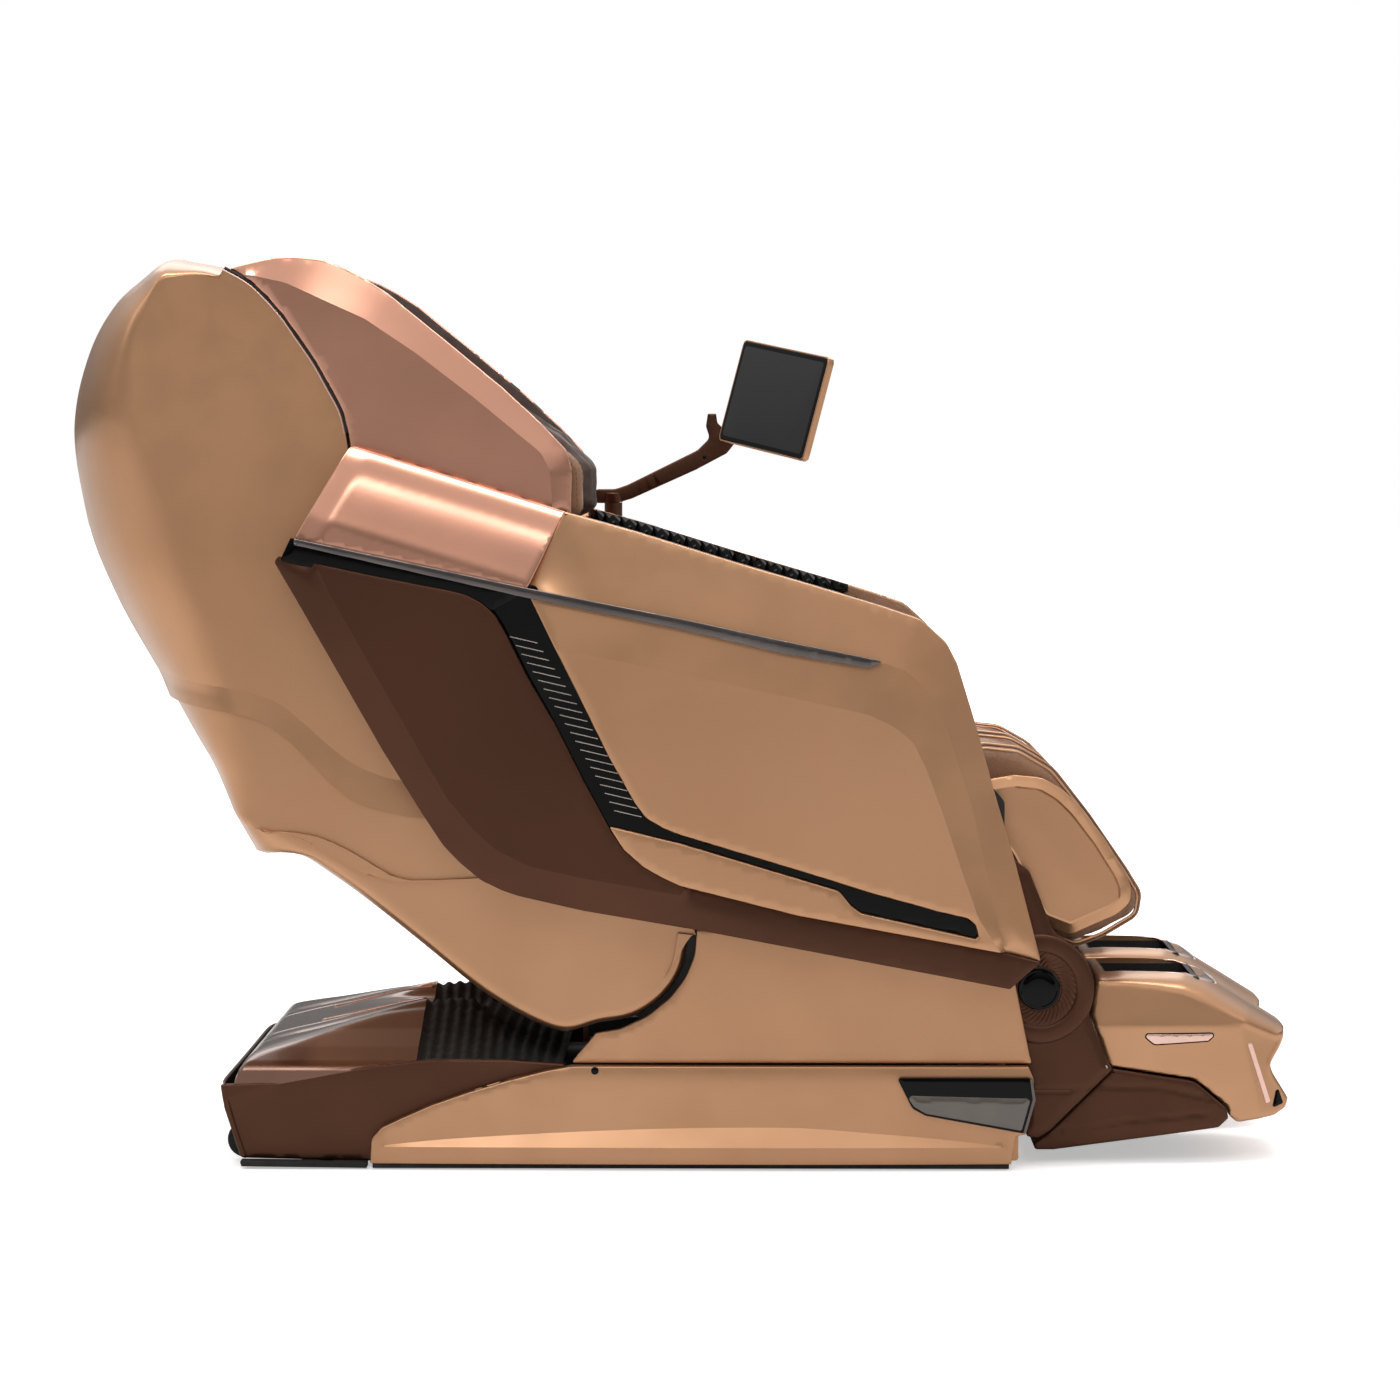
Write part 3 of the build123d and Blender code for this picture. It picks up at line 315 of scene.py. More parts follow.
def filled(loop, creases=(), lines=(), holes=(), grid=0.0):
    """Triangles that fill a loop, with edges along the creases: (points, triangles, crease edges)."""
    points, edges, kinds = [], [], []

    def add(line, closed, kind):
        first = len(points)
        points.extend(tuple(p) for p in line)
        count = len(line) if closed else len(line) - 1
        for k in range(count):
            edges.append((first + k, first + (k + 1) % len(line)))
            kinds.append(kind)

    add(loop, True, 0)
    for hole in holes:
        add(hole, True, 0)
    for crease in creases:
        add(crease, True, 1)
    for line in lines:
        add(line, False, 1)
    if grid:
        low, high = loop.min(0), loop.max(0)
        xs = np.arange(low[0], high[0], grid)
        zs = np.arange(low[1], high[1], grid * 0.866)
        lattice = np.array([(x + (grid / 2 if j % 2 else 0), z) for j, z in enumerate(zs) for x in xs])
        keep = inside(lattice, loop) & (distance(lattice, loop) > grid * 0.5)
        closed_lines, open_lines = [(c, True) for c in (*holes, *creases)], [(c, False) for c in lines]
        for line, closed in closed_lines + open_lines:
            keep &= distance(lattice, line, closed) > grid * 0.4
        points.extend(tuple(p) for p in lattice[keep])
    out = delaunay_2d_cdt([Vector(p) for p in points], edges, [], 0, 1e-5)
    flat = np.array([tuple(v) for v in out[0]])
    triangles = np.array([f for f in out[2]])
    middle = flat[triangles].mean(1)
    keep = inside(middle, loop)
    for hole in holes:
        keep &= ~inside(middle, hole)
    creased = [tuple(e) for e, origin in zip(out[1], out[4]) if any(kinds[i] == 1 for i in origin)]
    return flat, triangles[keep], creased


def loft(rings, caps=True):
    """Vertices and faces of a tube through rings of equal length, with closed ends unless caps is False."""
    count, last = len(rings[0]), len(rings) - 1
    vertices = [tuple(p) for ring in rings for p in ring]
    faces = [(i * count + k, i * count + (k + 1) % count, (i + 1) * count + (k + 1) % count,
              (i + 1) * count + k)
             for i in range(last) for k in range(count)]
    if caps:
        faces += [tuple(range(count))[::-1], tuple(last * count + k for k in range(count))]
    return vertices, faces


def lattice_faces(rows, columns):
    """Quads over a grid of points stored row by row."""
    return [(i * columns + j, i * columns + j + 1, (i + 1) * columns + j + 1, (i + 1) * columns + j)
            for i in range(rows - 1) for j in range(columns - 1)]


def grid_rim(rows, columns):
    """Indices round the edge of a grid, in order."""
    return ([i * columns for i in range(rows)] + [(rows - 1) * columns + j for j in range(1, columns)]
            + [i * columns + columns - 1 for i in range(rows - 2, -1, -1)] + list(range(columns - 2, 0, -1)))


def moulded(name, vertices, faces, mat, body, slot, angle, sharp=()):
    """Piece from vertices in mm, welded, facing outwards and shaded."""
    piece = make(name, np.array(vertices) * MM, faces, mat, body, sharp, angle)
    weld(piece)
    shade(piece.data, (), angle)
    return piece


def double_skin(name, outer, inner, mat, body, slot, angle):
    """Closed sheet between two grids of points in mm."""
    rows, columns = outer.shape[:2]
    count = rows * columns
    quads = [(a, d, c, b) for a, b, c, d in lattice_faces(rows, columns)]
    ring = grid_rim(rows, columns)
    faces = quads + [tuple(v + count for v in quad[::-1]) for quad in quads]
    faces += [(a, b, b + count, a + count) for a, b in zip(ring, ring[1:] + ring[:1])]
    return moulded(name, np.concatenate([outer.reshape(-1, 3), inner.reshape(-1, 3)]), faces, mat, body,
                   slot, angle)


def both_sides(vertices, faces, sharp):
    """The mesh of the right side with its mirror image."""
    count = len(vertices)
    mirrored = vertices * np.array([1, -1, 1])
    return (np.vstack([vertices, mirrored]),
            [tuple(f) for f in faces] + [tuple(i + count for i in f[::-1]) for f in faces],
            list(sharp) + [(a + count, b + count) for a, b in sharp])


def relief(name, loop, height, back, mat, body, side=RIGHT, creases=(), lines=(), holes=(),
           edge=2.0,
           grid=10.0, steps=3, roll=None, power=2.0, about=None, crease_shading=True):
    """Moulded panel: a loop in XZ, its face standing at height(points) from the middle plane, with a rounded
    rim and a wall back to a plane.  edge and roll are how far the rim reaches in and back, one value or one
    for each point.  side is RIGHT, LEFT or 0 for both.  about adds the panel's mirror image in that plane."""
    vertices, faces, sharp = [], [], []

    def add_loop(line, levels):
        first = len(vertices)
        vertices.extend((p[0], -h, p[1]) for p, h in zip(line, levels))
        return list(range(first, first + len(line)))

    rims = [(loop, 1.0)] + [(hole, -1.0) for hole in holes]
    reach = np.asarray(edge, float).reshape(-1, 1) if hasattr(edge, "__len__") else edge
    roll = edge if roll is None else roll
    tops = [line - outward(line) * reach * sign for line, sign in rims]
    flat, triangles, creased = filled(tops[0], creases, lines, tops[1:], grid)
    vertices.extend((p[0], -h, p[1]) for p, h in zip(flat, height(flat)))
    faces.extend(triangles.tolist())
    sharp.extend(creased)
    used = {i for f in triangles.tolist() for i in f}
    index = {(round(flat[i][0], 3), round(flat[i][1], 3)): i for i in used}
    for (line, sign), top in zip(rims, tops):
        level = height(top)
        normal = outward(line) * sign
        ring = [index.get((round(p[0], 3), round(p[1], 3))) for p in top]
        if None in ring:
            ring = add_loop(top, level)
        for k in range(1, steps + 1):
            a = math.pi / 2 * k / steps
            out, drop = math.sin(a) ** (2 / power), 1 - max(math.cos(a), 0.0) ** (2 / power)
            ring = stitch(ring, add_loop(top + normal * reach * out, level - roll * drop), faces)
        ring = stitch(ring, add_loop(line, np.full(len(line), back)), faces)
        if sign > 0 and about is None:
            rear, rear_faces, _ = filled(line, holes=holes)
            first = len(vertices)
            vertices.extend((p[0], -back, p[1]) for p in rear)
            faces.extend(tuple(i + first for i in f) for f in rear_faces.tolist())
    vertices = np.array(vertices)
    if not crease_shading:
        sharp = []
    if about is not None:
        flipped = vertices * np.array([1, -1, 1]) + np.array([0, -2 * about, 0])
        count = len(vertices)
        faces = faces + [tuple(i + count for i in f[::-1]) for f in faces]
        sharp = sharp + [(a + count, b + count) for a, b in sharp]
        vertices = np.vstack([vertices, flipped])
    vertices = vertices * MM
    if side == LEFT:
        vertices, faces = vertices * np.array([1, -1, 1]), [f[::-1] for f in faces]
    elif side == 0:
        vertices, faces, sharp = both_sides(vertices, faces, sharp)
    piece = make(name, vertices, faces, mat, body, sharp)
    weld(piece)
    return piece


def stitch(first, second, faces):
    """Quads between two rings of the same length."""
    count = len(first)
    for k in range(count):
        n = (k + 1) % count
        faces.append((first[k], first[n], second[n], second[k]))
    return second


def weld(piece, gap=1e-5):
    """Join coincident vertices and turn every face outwards."""
    made = bmesh.new()
    made.from_mesh(piece.data)
    bmesh.ops.remove_doubles(made, verts=made.verts, dist=gap)
    bmesh.ops.recalc_face_normals(made, faces=made.faces)
    if made.calc_volume(signed=True) < 0:
        bmesh.ops.reverse_faces(made, faces=made.faces)
    made.to_mesh(piece.data)
    made.free()


def nested(rings, dome=0.0, reach=120.0):
    """Height over rings, each (loop, height), from the outermost inwards, with a crown inside the last."""
    def height(p):
        level = np.full(len(p), float(rings[0][1]))
        for k, (loop, high) in enumerate(rings):
            within = inside(p, loop) if k else np.ones(len(p), bool)
            away = distance(p, loop)
            if k + 1 < len(rings):
                next_loop, next_high = rings[k + 1]
                gap = distance(p, next_loop)
                share = away / np.maximum(away + gap, 1e-6)
                level = np.where(within, high + (next_high - high) * share, level)
            else:
                level = np.where(within, high + dome * (1 - np.exp(-(away / reach) ** 2)), level)
        return level
    return height



def depth(node, inner=False):
    """Outermost or innermost distance of a CAD node's right half from the middle plane, in mm."""
    low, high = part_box(node)
    if low.y < 0 < high.y:
        return -low.y / MM
    return (min if inner else max)(abs(low.y), abs(high.y)) / MM


# ---- camera, floor, light --------------------------------------------------------------------------
camera_data = bpy.data.cameras.new("camera")
camera_data.lens, camera_data.sensor_width = 123.3, 36.0
camera = bpy.data.objects.new("camera", camera_data)
camera.location = (0.1135, -7.12, 1.010)
camera.rotation_euler = (math.radians(87.07), 0, math.radians(0.63))
bpy.context.scene.collection.objects.link(camera)
bpy.context.scene.camera = camera

FLOOR = finish("floor_pale", ((250, 250, 250), (246, 246, 246)), (0.55, 0.6), (4, 0.002), 0.5, (4, 0.01),
               Emission_Color=(1, 1, 1, 1), Emission_Strength=0.3)


def floor_plane():
    """Pale floor that runs out of view on every side and is brighter away from the chair."""
    nodes, links = FLOOR.node_tree.nodes, FLOOR.node_tree.links
    # painted light: the floor glows to the camera only, weaker near the chair and brighter further off
    away = nodes.new("ShaderNodeVectorMath")
    away.operation = "LENGTH"
    glow = nodes.new("ShaderNodeMapRange")
    for socket, value in (("From Min", 1.2), ("From Max", 5.0), ("To Min", 0.45), ("To Max", 1.0)):
        glow.inputs[socket].default_value = value
    seen = nodes.new("ShaderNodeMath")
    seen.operation = "MULTIPLY"
    links.new(nodes.new("ShaderNodeTexCoord").outputs["Object"], away.inputs[0])
    links.new(away.outputs["Value"], glow.inputs["Value"])
    links.new(glow.outputs["Result"], seen.inputs[0])
    links.new(nodes.new("ShaderNodeLightPath").outputs["Is Camera Ray"], seen.inputs[1])
    links.new(seen.outputs[0], nodes["Principled BSDF"].inputs["Emission Strength"])
    size = 60.0
    mesh = bpy.data.meshes.new("floor")
    mesh.from_pydata([(-size, -size, 0), (size, -size, 0), (size, size, 0), (-size, size, 0)], [],
                     [(0, 1, 2, 3)])
    mesh.materials.append(FLOOR)
    floor = bpy.data.objects.new("floor", mesh)
    bpy.context.scene.collection.objects.link(floor)


def softbox(name, place, target, size, power):
    """Large soft rectangular lamp turned towards a point."""
    light = bpy.data.lights.new(name, "AREA")
    light.shape, light.size, light.size_y = "RECTANGLE", size[0], size[1]
    light.energy = power
    lamp = bpy.data.objects.new(name, light)
    lamp.location = place
    lamp.rotation_euler = (Vector(target) - Vector(place)).to_track_quat("-Z", "Y").to_euler()
    bpy.context.scene.collection.objects.link(lamp)


def studio():
    """White surroundings to the eye, softer grey ones to the reflections, and large soft lamps."""
    bpy.context.scene.view_settings.view_transform = "Standard"
    world = bpy.data.worlds.new("studio")
    bpy.context.scene.world = world
    world.use_nodes = True
    nodes, links = world.node_tree.nodes, world.node_tree.links
    sky = nodes["Background"]
    sky.inputs["Color"].default_value = (1.0, 0.985, 0.97, 1)
    split = nodes.new("ShaderNodeSeparateXYZ")
    links.new(nodes.new("ShaderNodeTexCoord").outputs["Generated"], split.inputs[0])
    rise = nodes.new("ShaderNodeMapRange")
    rise.interpolation_type = "SMOOTHSTEP"
    for socket, value in (("From Min", -0.1), ("From Max", 0.6), ("To Min", 0.03), ("To Max", 0.95)):
        rise.inputs[socket].default_value = value
    links.new(split.outputs["Z"], rise.inputs["Value"])
    links.new(rise.outputs["Result"], sky.inputs["Strength"])
    seen = nodes.new("ShaderNodeBackground")
    seen.inputs["Color"].default_value = (1, 1, 1, 1)
    seen.inputs["Strength"].default_value = 1.0
    path = nodes.new("ShaderNodeLightPath")
    mix = nodes.new("ShaderNodeMixShader")
    links.new(path.outputs["Is Camera Ray"], mix.inputs["Fac"])
    links.new(sky.outputs[0], mix.inputs[1])
    links.new(seen.outputs[0], mix.inputs[2])
    links.new(mix.outputs[0], nodes["World Output"].inputs["Surface"])
    softbox("lamp_top", (0.0, -0.3, 3.3), (0.0, 0.0, 0.6), (3.8, 0.9), 62)
    softbox("lamp_front", (-0.6, -4.4, 3.2), (-0.2, 0.0, 0.9), (2.2, 0.8), 26)
    softbox("lamp_left", (-3.2, -0.6, 2.4), (-0.6, 0.0, 0.9), (0.8, 1.6), 3)
    softbox("lamp_right", (3.4, -1.4, 1.7), (0.5, 0.0, 0.4), (0.6, 1.8), 4)
    softbox("lamp_back", (-0.2, 3.4, 2.6), (0.0, 0.0, 0.7), (3.6, 1.4), 22)


floor_plane()
studio()

# ---- arms ------------------------------------------------------------------------------------------
ARM_BACK = depth("arm_front_right", inner=True)
ARM_FACE = depth("arm_front_right")
GOLD_FACE = [(-150, 930), (-57, 904), (86, 860), (228, 818), (300, 796), (350, 779), (385, 747), (400, 718),
             (430, 620), (454, 533), (483, 436), (519, 298), (468, 311), (179, 364), (12, 406), (-14, 418),
             (-40, 433), (-67, 457), (-88, 490), (12, 466), (179, 416), (235, 399), (252, 378), (266, 368),
             (426, 332), (430, 336), (426, 352), (415, 361), (372, 371), (275, 398), (179, 428), (12, 478),
             (-13, 488), (-36, 502), (-51, 522), (-89, 590), (-126, 665), (-163, 739), (-203, 820)]
GOLD_RADIUS = [2, 60, 60, 60, 60, 40, 30, 40, 80, 80, 80, 3, 20, 60, 30, 30, 30, 20, 1.5, 60, 90, 14, 10, 6,
               2, 2, 6, 10, 30, 60, 90, 30, 20, 20, 30, 60, 60, 60, 1]
CREASE_BAND = [(-161, 739), (12, 704), (179, 668), (275, 647), (313, 629), (338, 608), (356, 572), (381, 505),
               (405, 432), (430, 361), (460, 315), (455, 280), (-260, 280), (-260, 759)]
CREASE_FRONT = [(-203, 815), (-128, 801), (14, 773), (157, 741), (299, 718), (324, 710), (345, 694),
                (366, 668),
                (386, 625), (419, 524), (448, 399), (470, 300), (480, 250), (-300, 250), (-300, 836)]


def arm_fronts():
    """Champagne front panels of the arms with their two creases."""
    loop = rounded(GOLD_FACE, GOLD_RADIUS)
    band = rounded(CREASE_BAND, [1, 60, 60, 60, 40, 40, 60, 60, 60, 60, 5, 1, 1, 1])
    front = rounded(CREASE_FRONT, [1, 60, 60, 60, 60, 30, 30, 40, 60, 90, 90, 60, 1, 1, 1])
    height = nested([(loop, ARM_FACE - 22), (front, ARM_FACE - 9), (band, ARM_FACE - 1)], 0.8, 160)
    for side, word in SIDES:
        panel = relief("arm_panel_front_" + word, loop, height, ARM_BACK, GOLD, "carriage", side,
                       creases=[band, front], edge=2.2)
        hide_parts("arm_front_" + word)


DARK_FACE = [(-557, 860), (-550, 869), (-538, 867), (-426, 843), (-313, 821), (-288, 815), (-265, 803),
             (-246, 785), (-232, 760), (-201, 698), (-163, 633), (-127, 561), (-89, 490), (-67, 457),
             (-40, 433),
             (-14, 418), (12, 406), (179, 364), (468, 311), (519, 298), (475, 260), (179, 316), (36, 343),
             (-124, 370), (-216, 391), (-239, 399), (-268, 413), (-299, 439), (-321, 462), (-350, 506),
             (-407, 598), (-464, 698), (-526, 807)]
DARK_RADIUS = [8, 6, 8, 60, 60, 30, 30, 30, 40, 90, 90, 90, 60, 30, 40, 40, 40, 90, 60, 2, 3, 90, 90, 90, 60,
               40,
               40, 50, 60, 90, 120, 120, 60]
CREASE_DARK = [(-498, 858), (-481, 822), (-425, 721), (-350, 590), (-313, 527), (-276, 483), (-245, 456),
               (-200, 434), (-126, 417), (12, 393), (60, 440), (-60, 620), (-180, 840), (-330, 900),
               (-505, 900)]


def arm_lowers():
    """Dark brown lower panels with a bevelled band along their rear and lower edge."""
    loop = rounded(DARK_FACE, DARK_RADIUS)
    crease = rounded(CREASE_DARK, [2, 60, 120, 120, 60, 60, 50, 60, 90, 2, 2, 2, 2, 2, 2])
    top = depth("arm_lower_right") - 1
    height = nested([(loop, top - 10), (crease, top)], 0.6, 120)
    for side, word in SIDES:
        panel = relief("arm_panel_lower_" + word, loop, height, ARM_BACK, BROWN, "carriage",
                       side,
                       creases=[crease], edge=2.0)
        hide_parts("arm_lower_" + word)


COPPER_FACE = [(-452, 1023), (-150, 930), (-203, 820), (-529, 892)]
CREASE_COPPER = [(-428, 1030), (-428, 997), (-496, 886), (-500, 840), (-100, 740), (-60, 960)]


def arm_uppers():
    """Copper panels between arm and shell, hollowed along their length under a bright upper edge."""
    loop = rounded(COPPER_FACE, [10, 1, 1, 4])
    crease = rounded(CREASE_COPPER, [1, 4, 20, 1, 1, 1])
    top_edge = np.array([(-452, 1023), (-150, 930)], float)
    rear_edge = np.array([(-452, 1023), (-529, 892)], float)
    face = depth("arm_uppers")

    def height(p):
        from_top = distance(p, top_edge, closed=False)
        from_rear = distance(p, rear_edge, closed=False)
        bow = face - 14 - 30 * np.exp(-from_top / 24) + 9 * np.clip(from_top / 110, 0, 1) ** 2
        return np.where(inside(p, crease), bow, bow - 9 * np.clip(1 - from_rear / 30, 0, 1))

    slope = (top_edge[1] - top_edge[0]) / np.linalg.norm(top_edge[1] - top_edge[0])
    down = np.array([slope[1], -slope[0]])
    rows = []
    for off in (3, 5, 8, 12, 17, 23, 30, 38, 48, 60):
        start = top_edge[0] + down * off - slope * (off * 0.22 - 5)
        end = top_edge[1] + down * off - slope * (off * 0.12 + 5)
        rows.append(spaced([start, end], 7, False))
    panel = relief("arm_panel_upper", loop, height, ARM_BACK, COPPER, "carriage", 0,
                   lines=rows, edge=2.0, grid=7, crease_shading=False)
    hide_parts("arm_uppers")


BLACK_FACE = [(-300, 812), (-190, 828), (-110, 665), (-75, 590), (-30, 515), (12, 490), (179, 440),
              (275, 410),
              (372, 383), (440, 362), (440, 322), (266, 358), (240, 370), (225, 392), (179, 404), (12, 454),
              (-60, 466), (-110, 480), (-140, 565), (-215, 700), (-245, 762), (-262, 790)]
BLACK_BAND = [(-548, 862), (-533, 894), (-196, 822), (-250, 792), (-290, 806), (-426, 834)]
BLACK_FOLD = [(-262, 812), (-180, 694), (-60, 694), (-60, 860)]
STRIP_TOP = [(-528, 893), (-203, 824), (-128, 809), (14, 781), (157, 750), (285, 724), (294, 722)]
STRIP_LOW = [(290, 718), (276, 712), (157, 732), (14, 766), (-128, 795), (-203, 810), (-528, 884)]
FIN_COUNT, FIN_LENGTH, FIN_SLOPE = 21, 40.0, math.radians(-13)


def arm_trim():
    """Gloss black strips with their air slats, and the dark chrome line along the arm."""
    plate = rounded(BLACK_FACE, 8)
    fold = rounded(BLACK_FOLD, 2)
    vent = relief("vent_plate", plate, nested([(plate, 411), (fold, 413.5)], 0), 400, BLACK, "carriage",
                  0, creases=[fold], edge=1.0, grid=14)
    band = rounded(BLACK_BAND, 3)
    relief("side_band", band, nested([(band, 418)], 0.5, 20), 404, BLACK, "carriage", 0,
           edge=1.0)
    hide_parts("vent_panels")
    strip = rounded(STRIP_TOP + STRIP_LOW, [0.5, 90, 60, 60, 60, 20, 1, 3, 8, 60, 60, 60, 90, 0.5])
    line = relief("arm_strip_line", strip, nested([(strip, 427), (grown(strip, -3), 428.6)], 0), 404, CHROME,
                  "carriage", 0, edge=1.2, grid=12)
    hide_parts("arm_strips")
    vertices, faces = [], []
    for k in range(FIN_COUNT):
        bar, walls = loft(slat(-207 + k * 8.1 * (1 - 0.005 * k), 751 - k * 12.2))
        faces += [tuple(i + len(vertices) for i in wall) for wall in walls]
        vertices += bar
    vertices, faces, _ = both_sides(np.array(vertices) * MM, faces, [])
    fins = make("vent_slats", vertices, faces, FIN, "carriage", angle=40)
    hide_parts("vent_fins")


def slat(x, z):
    """Rings of one air slat: a slim bar with narrowed ends and a ridge along its face."""
    half, thin = FIN_LENGTH / 2, 1.1
    section = [(-thin, 412.2), (-thin, 414.6), (-0.4, 415.6), (0.4, 415.6), (thin, 414.6), (thin, 412.2)]
    return [[(x + a * math.cos(FIN_SLOPE), -out, z + a * math.sin(FIN_SLOPE) + up * taper) for up,
             out in section]
            for a, taper in ((-half, 0.55), (1.0 - half, 1.0), (half - 1.0, 1.0), (half, 0.55))]


# ---- base and carriage covers ----------------------------------------------------------------------
BASE_FACE = [(-142, 147), (-180, 140), (-234, 126), (-287, 110), (-341, 91), (-384, 72), (-411, 59),
             (-425, 43), (-427, 9), (479, 9), (485, 49), (499, 51), (511, 102), (510, 131), (503, 147)]
BASE_RADIUS = [3, 90, 120, 120, 120, 60, 14, 12, 2, 2, 2, 3, 10, 10, 3]
SCALLOP = [(-421, 33.5), (-360, 40), (-287, 46), (-125, 55), (35, 60), (180, 60), (277, 53), (374, 45),
           (477, 33.5)]
SKIRT_Z = 33.0
CARRIAGE_FACE = [(-143, 149), (-108, 191), (-73, 197), (-35, 215), (-2, 242), (19, 270), (32, 302), (35, 338),
                 (60, 345), (420, 330), (478, 300), (487, 254), (505, 165), (509, 149)]
CARRIAGE_CREASE = [(-200, 191), (-104, 158), (-54, 162), (0, 184), (42, 219), (64, 262), (75, 300), (78, 380),
                   (-200, 380)]


def base_covers():
    """Champagne base covers: a flat face over a flared skirt that meets it in a long scallop."""
    loop = rounded(BASE_FACE, BASE_RADIUS)
    arc = smooth_line(SCALLOP, 120)
    skirt = np.array([(-424, SKIRT_Z), (478, SKIRT_Z)], float)
    face, flare = depth("base_covers") - 10, 9.5

    def height(p):
        top = np.interp(p[:, 0], arc[:, 0], arc[:, 1], left=SKIRT_Z, right=SKIRT_Z)
        swell = flare * np.clip((top - SKIRT_Z) / 27, 0, 1) ** 0.8
        share = np.clip((top - p[:, 1]) / np.maximum(top - SKIRT_Z, 0.5), 0, 1)
        return face + swell * share - 2.0 * np.clip((p[:, 1] - 120) / 30, 0, 1) ** 2

    cover = relief("base_cover_panels", loop, height, ARM_BACK + 2, GOLD, "base", 0,
                   lines=[arc[2:-2], spaced(skirt, 8, False)[1:-1]], edge=1.8, grid=9)
    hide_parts("base_covers")
    disc_piece("cover_plug", (-109, 141), [(0, 3.4), (4.2, 3.4), (5.2, 2.8), (5.6, 0.0)], face - 2.4, BLACK,
               "base")


def carriage_covers():
    """Champagne covers of the seat carriage with a bevelled cradle for the round end of the back shell."""
    loop = rounded(CARRIAGE_FACE, [2, 2, 40, 60, 60, 60, 60, 2, 30, 60, 40, 60, 60, 3])
    crease = rounded(CARRIAGE_CREASE, [1, 20, 60, 60, 60, 60, 60, 1, 1])
    face = depth("carriage_covers") + 3
    outer = nested([(loop, face)], 0)
    cradle = loop[distance(loop, np.array([(-105.0, 329.0)]), False) < 146]

    def height(p):
        share = np.clip(1 - distance(p, cradle, closed=False) / 42, 0, 1)
        return outer(p) - np.where(inside(p, crease), 7 * share, 0)

    cover = relief("carriage_cover_panels", loop, height, depth("carriage_covers") - 11, GOLD, "carriage",
                   0, creases=[crease], edge=1.8, grid=9)
    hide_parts("carriage_covers")


def disc_piece(name, centre, profile, plane, mat, body, count=48, side=0):
    """Turned piece on a side face: profile is (radius, proudness) from the middle outwards."""
    vertices = [(centre[0], -(plane + profile[0][1]), centre[1])]
    faces = []
    for radius, proud in profile[1:]:
        for k in range(count):
            a = 2 * math.pi * k / count
            vertices.append((centre[0] + radius * math.cos(a), -(plane + proud),
                             centre[1] + radius * math.sin(a)))
    rings = len(profile) - 1
    for k in range(count):
        n = (k + 1) % count
        faces.append((0, 1 + k, 1 + n))
        for r in range(rings - 1):
            a, b = 1 + r * count, 1 + (r + 1) * count
            faces.append((a + k, b + k, b + n, a + n))
    faces.append(tuple(1 + (rings - 1) * count + k for k in range(count))[::-1])
    vertices = np.array(vertices) * MM
    sharp = []
    if side == LEFT:
        vertices, faces = vertices * np.array([1, -1, 1]), [f[::-1] for f in faces]
    elif side == 0:
        vertices, faces, sharp = both_sides(vertices, faces, sharp)
    piece = make(name, vertices, faces, mat, body, sharp, 32)
    weld(piece)
    shade(piece.data, (), 32)
    return piece


LAMP_FACE = [(317, 133), (504, 133), (510, 103), (496, 54), (358, 79), (339, 89)]
LAMP_GLASS = [(330, 108), (500, 104), (505, 101), (493, 58), (358, 82), (341, 92)]


def floor_lamps():
    """Side lamps of the base: black frame, smoke glass below and a bright front rim."""
    plane = depth("base_lamps") - 8
    frame_loop = rounded(LAMP_FACE, [4, 2, 6, 3, 12, 12])
    holder = relief("lamp_frame", frame_loop, nested([(frame_loop, plane + 3)], 0.6, 30), plane - 6, BLACK,
                    "base",
                    0, edge=1.2)
    glass = rounded(LAMP_GLASS, [6, 2, 3, 3, 12, 10])
    relief("lamp_glass", glass, nested([(glass, plane + 3.6)], 1.2, 40), plane - 4, SMOKE, "base",
           0,
           edge=1.0)
    rim = rounded([(504, 132), (508, 132), (513, 103), (499, 54), (495, 55), (508, 103)], [1, 1, 3, 1, 1, 3],
                  4)
    relief("lamp_rim", rim, nested([(rim, plane + 4.4)], 0), plane - 6, CHROME, "base", 0,
           edge=0.8,
           grid=0)
    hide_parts("base_lamps")


# ---- back shell ------------------------------------------------------------------------------------
SHELL_REAR = [(-634, 1272), (-660, 1283), (-700, 1291), (-733, 1294), (-773, 1268), (-812, 1236),
              (-847, 1185),
              (-871, 1121), (-882, 1063), (-882, 1016), (-874, 960), (-858, 888), (-831, 821), (-801, 762),
              (-745, 671), (-706, 612), (-676, 570), (-651, 523), (-626, 472), (-608, 436)]
SHELL_LOW = [(-596, 433), (-549, 438), (-502, 411), (-456, 379), (-399, 335), (-344, 291), (-290, 247),
             (-236, 212),
             (-192, 190), (-150, 178), (-105, 191), (-52, 201), (-7, 231), (22, 274), (33, 327)]
SHELL_SIDE = [(-634, 1272), (-599, 1252), (-574, 1229), (-552, 1204), (-531, 1174), (-507, 1139),
              (-487, 1103),
              (-470, 1071), (-462, 1040), (-455, 990), (-330, 800), (-150, 570), (-20, 470), (33, 329)]
SASH_TOP = [(-1000, 706), (-760, 700), (-696, 690), (-663, 685), (-623, 678), (-582, 668), (-550, 652),
            (-521, 628),
            (-489, 599), (-456, 574), (-424, 559), (-384, 548), (-250, 530), (60, 500)]
SASH_LOW = [(-1000, 676), (-760, 668), (-700, 659), (-663, 653), (-606, 640), (-574, 628), (-550, 611),
            (-521, 583),
            (-489, 550), (-461, 526), (-428, 509), (-391, 501), (-355, 495), (-230, 480), (60, 460)]
SHELL_HALF = depth("back_shell_upper")
WRAP, FACE_COLUMNS = 40, 60
LIP = 4.0


